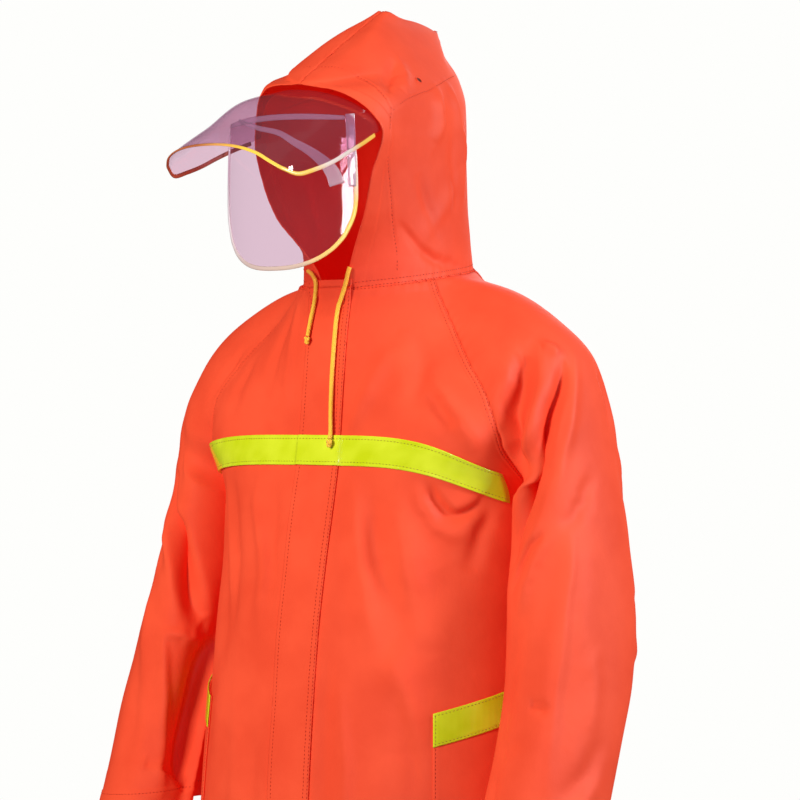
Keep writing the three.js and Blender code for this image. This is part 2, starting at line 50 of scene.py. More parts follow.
# Driving sizes, as in the model
CLOTH = 1.6
TAPE = 1.0
CLEAR = 1.0
SEAM_GAP = 0.3
LAY_GAP = 0.9  # from a panel to what lies on it
PLACKET_WIDTH = 60
PLACKET_TOP_Z = -5
HEM_Z = -775
TAPE_WIDTH = 35
TAPE_TOP_Z = -186
TAPE_DROP = {"left": 42, "right": 13}
TAPE_REACH = 207
POCKET = {"front": 0.505, "back": 0.97, "top_z": -499, "rise": 79, "bottom_z": -700, "tape": 38}
CORD_DIAMETER = 5
KNOT_DIAMETER = 9
EYELET = {"diameter": 7, "x": 72, "y": -40, "z": 238}
NECK = {"z": 1.3, "rise": 0.14}
SIDES = {"left": 1, "right": -1}

# Sewn lines, by their distance from an edge
FELL_STITCHES = (1.5, 6.2)
HEM_WIDTH = 20
HEM_STITCHES = HEM_WIDTH - 2
NECK_STITCHES = 3.0
HOOD_STITCHES = (2.2, 7.0)
TAPE_STITCHES = 4.2
PATCH_STITCHES = 3
CALM_BY_SEAM = 16  # over this distance from a seam the creases fade out

# Camera, light and floor
CAMERA_TURN = math.radians(37)
CAMERA_DISTANCE = 3.4
CAMERA_LENS = 127.5  # millimetres, on a 36 mm sensor
CAMERA_SHIFT_RIGHT = 0.0144
CAMERA_HEIGHT = -0.145
FLOOR_Z = -1.5


def point_at(thing, place, target):
    thing.location = place
    thing.rotation_euler = (Vector(target) - Vector(place)).to_track_quat("-Z", "Y").to_euler()


def make_camera():
    camera = bpy.data.objects.new("camera", bpy.data.cameras.new("camera"))
    bpy.context.scene.collection.objects.link(camera)
    camera.data.lens = CAMERA_LENS
    camera.data.sensor_width = 36
    right = Vector((math.cos(CAMERA_TURN), math.sin(CAMERA_TURN), 0))
    ahead = Vector((-math.sin(CAMERA_TURN), math.cos(CAMERA_TURN), 0))
    target = right * CAMERA_SHIFT_RIGHT + Vector((0, 0, CAMERA_HEIGHT))
    point_at(camera, target - ahead * CAMERA_DISTANCE, target)
    bpy.context.scene.camera = camera


# Materials
def linear(code):
    """An sRGB hex colour as linear red, green, blue and alpha."""
    parts = [int(code[i : i + 2], 16) / 255 for i in (1, 3, 5)]
    return [c / 12.92 if c <= 0.04045 else ((c + 0.055) / 1.055) ** 2.4 for c in parts] + [1]


def put(owner, kind, settings=None, links=None):
    """Adds a node to a material or the world, sets its properties or unlinked sockets, and links sockets
    to what feeds them."""
    node = owner.node_tree.nodes.new("ShaderNode" + kind)
    for name, value in (settings or {}).items():
        if isinstance(name, int) or name in node.inputs:
            node.inputs[name].default_value = value
        else:
            setattr(node, name, value)
    for name, source in (links or {}).items():
        owner.node_tree.links.new(source, node.inputs[name])
    return node


def new_material(name):
    material = bpy.data.materials.new(name)
    material.use_nodes = True
    material.node_tree.nodes.clear()
    return material


def finish_with(material, shader):
    put(material, "OutputMaterial", links={"Surface": shader.outputs[0]})
    return material


def blend_colours(material, share, low, high, low_at=0.35, high_at=0.65):
    """A colour that runs from low to high as a noise or a wave rises."""
    ramp = put(material, "ValToRGB", links={"Fac": share})
    ends = ramp.color_ramp.elements
    ends[0].position, ends[0].color = low_at, linear(low)
    ends[1].position, ends[1].color = high_at, linear(high)
    return ramp.outputs["Color"]


def coated_cloth(name, shade, light, roughness):
    """Polyester cloth with a soft vinyl coating, knife-coated: even colour, a satin shine that spreads
    wide, the finest grain of the yarns below, drawn at 1.2 mm, coarser than real, so that it shows, and a
    painted red glow that lightens the cloth in its own shade, in place of the light that a fluorescent
    colour keeps there."""
    material = new_material(name)
    place = put(material, "TexCoord").outputs["Object"]
    patches = put(material, "TexNoise", {"Scale": 14, "Detail": 3, "Roughness": 0.5}, {"Vector": place})
    colour = blend_colours(material, patches.outputs["Fac"], shade, light)
    grain = put(material, "TexNoise", {"Scale": 850, "Detail": 2, "Roughness": 0.6}, {"Vector": place})
    ripple = put(material, "TexNoise", {"Scale": 60, "Detail": 4, "Roughness": 0.55}, {"Vector": place})
    fine = put(material, "Bump", {"Strength": 0.2, "Distance": 0.0004}, {"Height": grain.outputs["Fac"]})
    bump = put(
        material, "Bump", {"Strength": 0.15, "Distance": 0.003},
        {"Height": ripple.outputs["Fac"], "Normal": fine.outputs["Normal"]},
    )
    gloss = put(
        material, "MapRange", {"To Min": roughness - 0.05, "To Max": roughness + 0.06},
        {"Value": patches.outputs["Fac"]},
    )
    # The emission is a painted red glow: it lightens the cloth's shade.
    shader = put(
        material, "BsdfPrincipled",
        {
            "IOR": 1.5, "Specular IOR Level": 0.3,
            "Emission Color": linear("#FF0A04"), "Emission Strength": 0.16,
        },
        {"Base Color": colour, "Roughness": gloss.outputs["Result"], "Normal": bump.outputs["Normal"]},
    )
    return finish_with(material, shader)


def reflective_tape(name):
    """Fluorescent yellow vinyl tape with a cube-corner film: smooth, glossy, with faint ribs across it
    4 mm apart, and a weak painted glow that brightens it in light and shade alike, in place of its
    fluorescence."""
    material = new_material(name)
    place = put(material, "TexCoord").outputs["UV"]
    film = put(
        material, "TexWave", {"Scale": 40, "Distortion": 1.2, "Detail": 1, "Detail Scale": 0.4},
        {"Vector": place},
    )
    cloud = put(material, "TexNoise", {"Scale": 22, "Detail": 2}, {"Vector": place})
    colour = blend_colours(material, cloud.outputs["Fac"], "#C3D012", "#D6E12C")
    bump = put(material, "Bump", {"Strength": 0.1, "Distance": 0.0004}, {"Height": film.outputs["Fac"]})
    # The emission is a painted glow, which stands in for the tape's fluorescence.
    shader = put(
        material, "BsdfPrincipled",
        {
            "Roughness": 0.22, "IOR": 1.5, "Coat Weight": 0.6, "Coat Roughness": 0.08,
            "Emission Color": linear("#D4E020"), "Emission Strength": 0.05,
        },
        {"Base Color": colour, "Normal": bump.outputs["Normal"]},
    )
    return finish_with(material, shader)


def clear_vinyl(name, haze, tint):
    """Clear plasticised vinyl, calendered: what is behind shows through a lavender-pink tint, under a
    milky haze and a glossy face with slight ripples, which mirrors more where it is seen at a slant."""
    material = new_material(name)
    place = put(material, "TexCoord").outputs["Object"]
    ripple = put(material, "TexNoise", {"Scale": 16, "Detail": 1}, {"Vector": place})
    bump = put(material, "Bump", {"Strength": 0.3, "Distance": 0.005}, {"Height": ripple.outputs["Fac"]})
    normal = bump.outputs["Normal"]
    through = put(material, "BsdfTransparent", {"Color": linear(tint)})
    milk = put(material, "BsdfDiffuse", {"Color": linear("#F1E6F0")})
    body = put(material, "MixShader", {0: haze}, {1: through.outputs[0], 2: milk.outputs[0]})
    face = put(material, "BsdfGlossy", {"Color": linear("#FFFFFF"), "Roughness": 0.05}, {"Normal": normal})
    facing = put(material, "LayerWeight", {"Blend": 0.5}, {"Normal": normal}).outputs["Facing"]
    steep = put(material, "Math", {"operation": "POWER", 1: 4.0}, {0: facing})
    mirror = put(material, "MapRange", {"To Min": 0.03, "To Max": 0.24}, {"Value": steep.outputs[0]})
    shader = put(
        material, "MixShader", links={0: mirror.outputs[0], 1: body.outputs[0], 2: face.outputs[0]}
    )
    return finish_with(material, shader)


def woven_trim(name, shade, light, threads):
    """Polyester braid and bias tape: threads cross on the piece's own UV map, in a satin finish."""
    material = new_material(name)
    place = put(material, "TexCoord").outputs["UV"]
    weave = put(material, "TexWave", {"Scale": threads, "bands_direction": "DIAGONAL"}, {"Vector": place})
    colour = blend_colours(material, weave.outputs["Fac"], shade, light, 0.1, 0.7)
    bump = put(material, "Bump", {"Strength": 0.5, "Distance": 0.0005}, {"Height": weave.outputs["Fac"]})
    shader = put(
        material, "BsdfPrincipled",
        {"Roughness": 0.45, "Specular IOR Level": 0.4, "Sheen Weight": 0.2, "Sheen Roughness": 0.4},
        {"Base Color": colour, "Normal": bump.outputs["Normal"]},
    )
    return finish_with(material, shader)


def edge_tape(name):
    """Folded edge tape of translucent vinyl over satin: its colour runs along the piece, and is kept in
    the attribute tint. The colour is the tape's yellow, with painted highlights where it turns pale and
    painted shade where it turns brown-orange."""
    material = new_material(name)
    tint = put(material, "Attribute", {"attribute_name": "tint"}).outputs["Color"]
    place = put(material, "TexCoord").outputs["UV"]
    weave = put(material, "TexWave", {"Scale": 160, "bands_direction": "DIAGONAL"}, {"Vector": place})
    bump = put(material, "Bump", {"Strength": 0.25, "Distance": 0.0004}, {"Height": weave.outputs["Fac"]})
    shader = put(
        material, "BsdfPrincipled", {"Roughness": 0.32, "Coat Weight": 0.3},
        {"Base Color": tint, "Normal": bump.outputs["Normal"]},
    )
    return finish_with(material, shader)


def plain_finish(name, code, roughness):
    """One even colour: twisted polyester thread, a little glossy, the shade in a hole, or matt paint."""
    material = new_material(name)
    shader = put(material, "BsdfPrincipled", {"Base Color": linear(code), "Roughness": roughness})
    return finish_with(material, shader)


CLOTH_FINISH = coated_cloth("vinyl_coated_polyester_orange_red", "#D44A2C", "#DE5232", 0.62)
TAPE_FINISH = reflective_tape("retroreflective_vinyl_tape")
CLEAR_FINISH = clear_vinyl("clear_pvc_sheet", 0.014, "#F1E0EA")
CLEAR_BAND_FINISH = clear_vinyl("clear_pvc_double_band", 0.3, "#F4ECF2")
CORD_FINISH = woven_trim("braided_polyester_cord", "#F0A818", "#FFD050", 260)
BINDING_FINISH = edge_tape("satin_bias_binding")
HOLE_FINISH = plain_finish("vent_hole_shade", "#5A0402", 0.5)
CLOTH_THREAD = plain_finish("thread_red_orange", "#B41C0C", 0.5)
TAPE_THREAD = plain_finish("thread_ochre", "#A8862A", 0.5)


# Meshes from grids
def mesh_piece(name, points, faces, material, uvs=None):
    """A mesh object from points in millimetres, linked and selected alone."""
    mesh = bpy.data.meshes.new(name)
    mesh.from_pydata((np.asarray(points) * MM).tolist(), [], [list(map(int, f)) for f in faces])
    if uvs is not None:
        layer = mesh.uv_layers.new(name="UVMap")
        corners = np.empty(len(mesh.loops), np.int64)
        mesh.loops.foreach_get("vertex_index", corners)
        layer.data.foreach_set("uv", np.asarray(uvs, float)[corners].ravel())
    mesh.materials.append(material)
    mesh.shade_smooth()
    piece = bpy.data.objects.new(name, mesh)
    bpy.context.scene.collection.objects.link(piece)
    bpy.ops.object.select_all(action="DESELECT")
    bpy.context.view_layer.objects.active = piece
    piece.select_set(True)
    return piece


def grid_faces(rows, columns, first=0):
    """Quads of a grid of points, counted row by row."""
    low = (np.arange(rows - 1)[:, None] * columns + np.arange(columns - 1)[None, :]).ravel() + first
    return np.stack([low, low + 1, low + 1 + columns, low + columns], axis=1)


def merge_points(piece, turn_out=False):
    """Joins points that lie on one another, and can then turn a closed shape's faces outwards."""
    shape = bmesh.new()
    shape.from_mesh(piece.data)
    bmesh.ops.remove_doubles(shape, verts=shape.verts, dist=0.02 * MM)
    if turn_out:
        bmesh.ops.recalc_face_normals(shape, faces=shape.faces)
    shape.to_mesh(piece.data)
    shape.free()


def thicken(piece, thickness):
    """Gives a sheet its thickness, inwards from the outer face, and applies it."""
    wall = piece.modifiers.new("wall", "SOLIDIFY")
    wall.thickness = thickness * MM
    wall.offset = -1
    bpy.ops.object.modifier_apply(modifier=wall.name)


def smooth(t):
    t = np.clip(t, 0, 1)
    return t * t * (3 - 2 * t)


def mix(a, b, t):
    return a + (b - a) * t


def vec(x, y, z):
    """Points from coordinates of any matching shapes."""
    return np.stack(np.broadcast_arrays(np.asarray(x, float), y, z), axis=-1)


def unit(v):
    return v / np.maximum(np.linalg.norm(v, axis=-1, keepdims=True), 1e-9)


def run_along(path):
    """The distance of each point of a path from its start."""
    return np.concatenate([[0], np.cumsum(np.linalg.norm(np.diff(path, axis=0), axis=1))])


def between(at, places, rows):
    """Rows of numbers at some places, with each column running straight from row to row."""
    return np.stack([np.interp(at, places, column) for column in np.asarray(rows).T], axis=-1)


def bezier(a, b, c, d, t):
    t = np.asarray(t, float)[..., None]
    s = 1 - t
    return a * s**3 + b * (3 * s * s * t) + c * (3 * s * t * t) + d * t**3


def table(names, rows):
    """Rows of sections, each starting with its place. Between them each column follows a smooth curve
    that never goes past its rows."""
    names = names.split()
    numbers = np.array(rows, float)
    places, values = numbers[:, 0], numbers[:, 1:]
    rates = np.diff(values, axis=0) / np.diff(places)[:, None]
    before, after = rates[:-1], rates[1:]
    same_way = before * after > 0
    inner = np.where(same_way, 2 * before * after / np.where(same_way, before + after, 1), 0)
    slopes = np.vstack([rates[:1], inner, rates[-1:]])

    def section(at):
        at = np.asarray(at, float)
        i = np.clip(np.searchsorted(places, at) - 1, 0, len(places) - 2)
        span = (places[i + 1] - places[i])[..., None]
        t = (at - places[i])[..., None] / span
        out = (
            (2 * t**3 - 3 * t**2 + 1) * values[i]
            + (t**3 - 2 * t**2 + t) * slopes[i] * span
            + (3 * t**2 - 2 * t**3) * values[i + 1]
            + (t**3 - t**2) * slopes[i + 1] * span
        )
        return {name: out[..., k] for k, name in enumerate(names)}

    return section


# Sections of the coat. Place 0 is the neck, 1 the armpit and 2 the hem or the cuff.
front_section = table("y z seam_x seam_y seam_z run_x run_y run_z middle side", [
    [0, -113, -14.5, 92, -36, -3.7, 0.25, 0.96, 0.134, 46, 40],
    [0.25, -119, -62, 131, -52, -55, 0.62, 0.76, 0.05, 60, 42],
    [0.5, -124, -118, 172, -72, -105, 0.84, 0.53, 0.05, 78, 48],
    [0.7, -128, -163, 203, -79, -148, 0.72, 0.69, 0, 96, 44],
    [0.85, -133, -208, 213, -66, -197, 0.18, 0.98, 0, 112, 46],
    [1, -143, -262, 214, 0, -262, 0, 1, 0, 128, 102],
    [1.2, -156, -325, 215, 0, -325, 0, 1, 0, 124, 100],
    [1.45, -173, -425, 222, 0, -425, 0, 1, 0, 127, 107],
    [1.7, -187, -560, 231, 0, -560, 0, 1, 0, 132, 114],
    [2, -201, HEM_Z, 240, 0, HEM_Z, 0, 1, 0, 137, 122],
])
back_section = table("y z seam_x seam_y seam_z run_x run_y run_z middle side", [
    [0, 113, 17.1, 80, 61, 9.8, 0.47, -0.88, -0.123, 40, 32],
    [0.25, 124, -38, 132, 84, -40, 0.8, -0.58, -0.12, 62, 38],
    [0.5, 134, -100, 176, 95, -102, 0.88, -0.46, -0.05, 80, 46],
    [0.7, 141, -152, 203, 86, -150, 0.7, -0.71, 0, 98, 44],
    [0.85, 146, -205, 213, 50, -199, 0.18, -0.98, 0, 112, 52],
    [1, 150, -262, 214, 0, -262, 0, -1, 0, 120, 88],
    [1.2, 153, -325, 215, 0, -325, 0, -1, 0, 122, 92],
    [1.45, 156, -425, 222, 0, -425, 0, -1, 0, 126, 95],
    [1.7, 160, -560, 231, 0, -560, 0, -1, 0, 131, 98],
    [2, 165, HEM_Z, 240, 0, HEM_Z, 0, -1, 0, 136, 102],
])
sleeve_cap = table("top_x top_y top_z out_x out_y out_z seam top bulge", [
    [0, 94.2, 14, 3.3, 0.3, 0.95, 0.133, 17, 20, 0],
    [0.25, 163, 12, -15, 0.72, 0.62, 0.3, 30, 34, 0],
    [0.5, 227, 12, -50, 0.86, 0.3, 0.4, 40, 44, 0],
    [0.7, 268, 17, -90, 0.92, 0.1, 0.4, 44, 52, 0],
    [0.85, 286, 15, -140, 0.8, -0.42, 0.18, 56, 70, 8],
    [1, 300, 8, -204, 0, -1, 0, 100, 102, 30],
])
sleeve_tube = table("x y z outer_x outer_y outer_z depth bulge turn", [
    [1, 214.8, 0, -262, 300, 8, -204, 100, 30, 0],
    [1.25, 218, -12, -335, 320, -12, -300, 111, 2, 6],
    [1.5, 227, -24, -405, 335, -26, -385, 111, 0, 10],
    [1.7, 231, -40, -475, 342, -43, -462, 107, 0, 10],
    [1.85, 229, -64, -540, 347, -68, -535, 103, 0, 8],
    [2, 225, -101, -634, 350, -106, -645, 99, 0, 6],
])


def to_neck_plane(points, at):
    """The rows next to the neck end exactly on the plane of the neck seam."""
    flat = NECK["z"] + NECK["rise"] * points[..., 1]
    points[..., 2] = np.where(at < 0.06, mix(flat, points[..., 2], np.clip(at / 0.06, 0, 1)), points[..., 2])
    return points


def body_points(section, u, at):
    """Points of the half section from the middle, u = 0, to the raglan or side seam, u = 1."""
    u, at = np.broadcast_arrays(np.asarray(u, float), np.asarray(at, float))
    s = section(at)
    run = unit(vec(s["run_x"], s["run_y"], s["run_z"]))
    middle = vec(0, s["y"], s["z"])
    seam = vec(s["seam_x"], s["seam_y"], s["seam_z"])
    from_middle = middle + vec(s["middle"], 0, 0)
    return to_neck_plane(bezier(middle, from_middle, seam - run * s["side"][..., None], seam, u), at)


def sleeve_points(u, at):
    """Points of the sleeve, from the front seam, u = 0, over the top to the back seam, u = 1."""
    u, at = np.broadcast_arrays(np.asarray(u, float), np.asarray(at, float))
    high = (at < 1)[..., None]
    cap_at, tube_at = np.minimum(at, 1), np.maximum(at, 1)
    f, b, cap, tube = front_section(cap_at), back_section(cap_at), sleeve_cap(cap_at), sleeve_tube(tube_at)
    under = vec(tube["x"], tube["y"], tube["z"])
    front = np.where(high, vec(f["seam_x"], f["seam_y"], f["seam_z"]), under)
    back = np.where(high, vec(b["seam_x"], b["seam_y"], b["seam_z"]), under)
    outer = vec(tube["outer_x"], tube["outer_y"], tube["outer_z"])
    top = np.where(high, vec(cap["top_x"], cap["top_y"], cap["top_z"]), outer)
    turn = np.radians(tube["turn"])
    lead = np.where(high, vec(0, np.ones_like(at), 0), vec(np.sin(turn), np.cos(turn), 0))
    out = np.where(high, unit(vec(cap["out_x"], cap["out_y"], cap["out_z"])), -lead)
    out_back = np.where(high, out * [1, -1, 1], lead)
    seam = np.where(at < 1, cap["seam"], tube["depth"])[..., None]
    over = np.where(at < 1, cap["top"], tube["depth"])[..., None]
    bulge = np.where(at < 1, cap["bulge"], tube["bulge"])[..., None]
    ahead = bezier(front, front + out * (seam + bulge), top - lead * over, top, u * 2)
    behind = bezier(back, back + out_back * seam, top + lead * over, top, 2 - u * 2)
    return to_neck_plane(np.where((u <= 0.5)[..., None], ahead, behind), at)


# Hood: an arch over the forehead, and sections from the neck, 0, to the ridge, 10.
ARCH = {"width": 95, "side_y": -135, "side_z": 160, "top_y": -168, "top_z": 220, "power": 2.3}


def arch_points(width, side_y, side_z, top_y, top_z, power, turn):
    c, s = np.maximum(np.cos(turn), 0), np.sin(turn)
    return vec(width * c ** (2 / power), mix(side_y, top_y, s * s), mix(side_z, top_z, s ** (2 / power)))


def brow_at(share):
    return arch_points(*ARCH.values(), share * math.pi / 2).tolist()


hood_section = table("x y z heading side_x side_y side_z back_y back_z", [
    [0, 20, -109.5, -12, 16, 95, 0, 1, 113, 17],
    [1, 41, -119.5, 30, 50, 92, 2, 38, 107, 62],
    [2, 67, -132, 72, 76, 90, -4, 84, 105, 102],
    [3, 82, -138, 115, 86, 90, -14, 128, 106, 146],
    [4, *brow_at(0), 94, 92, -26, 168, 108, 188],
    [5, *brow_at(0.4), 58, 91, -26, 205, 107, 226],
    [6, *brow_at(0.72), 32, 82, -22, 230, 101, 256],
    [7, 0, -168, 220, 12, 64, -16, 252, 91, 282],
    [8, 0, -123, 251, 4, 39, -8, 282, 92, 300],
    [9, 0, -66, 287, 2, 19, 6, 303, 96, 306],
    [10, 0, -12, 320, 0, 3, 36, 315, 94, 307],
])
HOOD_LEAN = 0.11
HOOD_LAP = 15
OVER_HOOD = 4


def lean(points, share=1.0):
    """The hood sits a little lower over the left brow than the right."""
    points[..., 2] -= HOOD_LEAN * share * points[..., 0] * smooth((points[..., 2] - 155) / 50)
    return points


def hood_points(u, at, sign):
    u, at = np.broadcast_arrays(np.asarray(u, float), np.asarray(at, float))
    s = hood_section(at)
    heading = np.radians(s["heading"])
    start = vec(s["x"], s["y"], s["z"])
    side = vec(s["side_x"], s["side_y"], s["side_z"])
    back = vec(0, s["back_y"], s["back_z"])
    leave = np.linalg.norm(start - side, axis=-1)[..., None] * 0.36
    reach = (0.58 * (s["back_y"] - s["side_y"]))[..., None]
    rearward = np.array([0, 1.0, 0])
    out = vec(np.cos(heading), np.sin(heading), 0.12)
    ahead = bezier(start, start + out * leave, side - rearward * reach * 0.9, side, u * 2)
    behind = bezier(side, side + rearward * reach, back + vec(0.58 * s["side_x"], 0, 0), back, u * 2 - 1)
    points = np.where((u < 0.5)[..., None], ahead, behind)
    if sign < 0:
        near_neck = 1 - smooth((points[..., 2] + 15) / 90)
        points[..., 0] -= HOOD_LAP * near_neck * np.maximum(0, 1 - 2 * u) ** 2
    flat = NECK["z"] + NECK["rise"] * points[..., 1] + 0.3
    points[..., 2] = np.where(at < 0.5, mix(flat, points[..., 2], smooth(at * 2)), points[..., 2])
    points[..., 0] = np.maximum(points[..., 0], 0) * sign
    return lean(points)


# Clear visor
brim_section = table("width side_y side_z top_y top_z power rounder", [
    [0, 89, -131, 164, -160, 213, 2.3, 0],
    [0.3, 100.5, -187, 142, -212, 198, 3.1, 0],
    [0.6, 103, -243, 119, -262, 170, 2.9, 0],
    [0.85, 99, -288, 108, -302, 151, 2.2, 0.4],
    [1, 90, -309, 110, -323, 139, 1.75, 0.9],
])
BRIM_SKEW = {"back": 0.13, "down": 0.05}
BRIM_CORNER = 0.12
SHIELD = {"half_width": 95, "top_half_width": 88.4, "front_y": -214, "wrap": 31}
SHIELD |= {"top_z": 181, "bottom_z": 6, "power": 2.5}


def brim_points(u, share):
    """Arches from inside the hood's edge, 0, to the front edge, 1, whose corners are rounded."""
    u, share = np.broadcast_arrays(np.asarray(u, float), np.asarray(share, float))
    turn = u * math.pi
    at = share * (1 - BRIM_CORNER * np.maximum(0, (np.abs(u * 2 - 1) - 0.7) / 0.3) ** 2)
    *arch, power, rounder = brim_section(at).values()
    points = arch_points(*arch, power + rounder * u, np.minimum(turn, math.pi - turn))
    points[..., 0] *= np.where(u > 0.5, -1, 1)
    points[..., 1] -= BRIM_SKEW["back"] * points[..., 0] * at
    points[..., 2] -= BRIM_SKEW["down"] * points[..., 0] * at
    return lean(points, (1 - at) ** 2)


def shield_points(u, v):
    """A U-shaped sheet curved round the face, from its lower edge, v = 0, to its top hem, v = 1."""
    u, v = np.broadcast_arrays(np.asarray(u, float), np.asarray(v, float))
    side = u * 2 - 1
    round_off = 1 - (1 - np.abs(side) ** SHIELD["power"]) ** (1 / SHIELD["power"])
    low = mix(SHIELD["bottom_z"], 100, round_off)
    z = mix(low, SHIELD["top_z"] - 5 * side * side, v)
    x = side * mix(SHIELD["half_width"], SHIELD["top_half_width"], smooth((z - 90) / 95))
    return vec(x, SHIELD["front_y"] + SHIELD["wrap"] * (x / SHIELD["half_width"]) ** 2, z)


# The model's large folds: width, depth, which is below 0 for a trough, and the two ends of the line
LARGE_FOLDS = [
    (15, -7, (268, -62, -150), (258, -78, -262)),
    (14, -5, (258, -78, -262), (250, -84, -330)),
    (14, -6, (300, -40, -150), (284, -78, -235)),
    (15, -7, (284, -78, -235), (243, -86, -318)),
    (26, 6, (318, -58, -330), (300, -92, -520)),
    (20, -5, (262, -70, -420), (262, -112, -560)),
    (12, -4, (318, 20, -135), (330, 15, -190)),
    (22, -6, (150, -120, -270), (172, -105, -330)),
    (24, -5, (172, -105, -330), (120, -150, -420)),
    (26, 5, (95, -150, -360), (140, -150, -500)),
    (30, -5, (190, -40, -420), (215, -60, -640)),
    (16, -6, (290, 60, -240), (250, 75, -330)),
    (18, -5, (310, 60, -390), (270, 60, -450)),
    (30, -6, (120, 120, -220), (60, 150, -420)),
    (34, 6, (185, 100, -300), (200, 110, -600)),
    (36, -5, (60, 150, -420), (90, 155, -720)),
    (16, -7, (-278, -70, -165), (-262, -84, -262)),
    (15, -6, (-300, -60, -250), (-318, -66, -330)),
    (16, -7, (-318, -66, -330), (-270, -92, -420)),
    (24, 6, (-330, -70, -440), (-338, -105, -600)),
    (20, -5, (-270, -80, -430), (-290, -140, -590)),
    (18, -7, (-190, -95, -262), (-170, -120, -300)),
    (26, -5, (-165, -125, -330), (-120, -150, -470)),
    (28, 5, (-110, -155, -380), (-150, -150, -640)),
    (16, -6, (-290, 60, -240), (-250, 75, -330)),
    (18, -5, (-312, 60, -380), (-270, 60, -450)),
    (30, -6, (-130, 115, -200), (-70, 150, -380)),
    (34, 6, (-190, 100, -320), (-190, 115, -640)),
    (36, -5, (-70, 150, -400), (-110, 150, -700)),
]
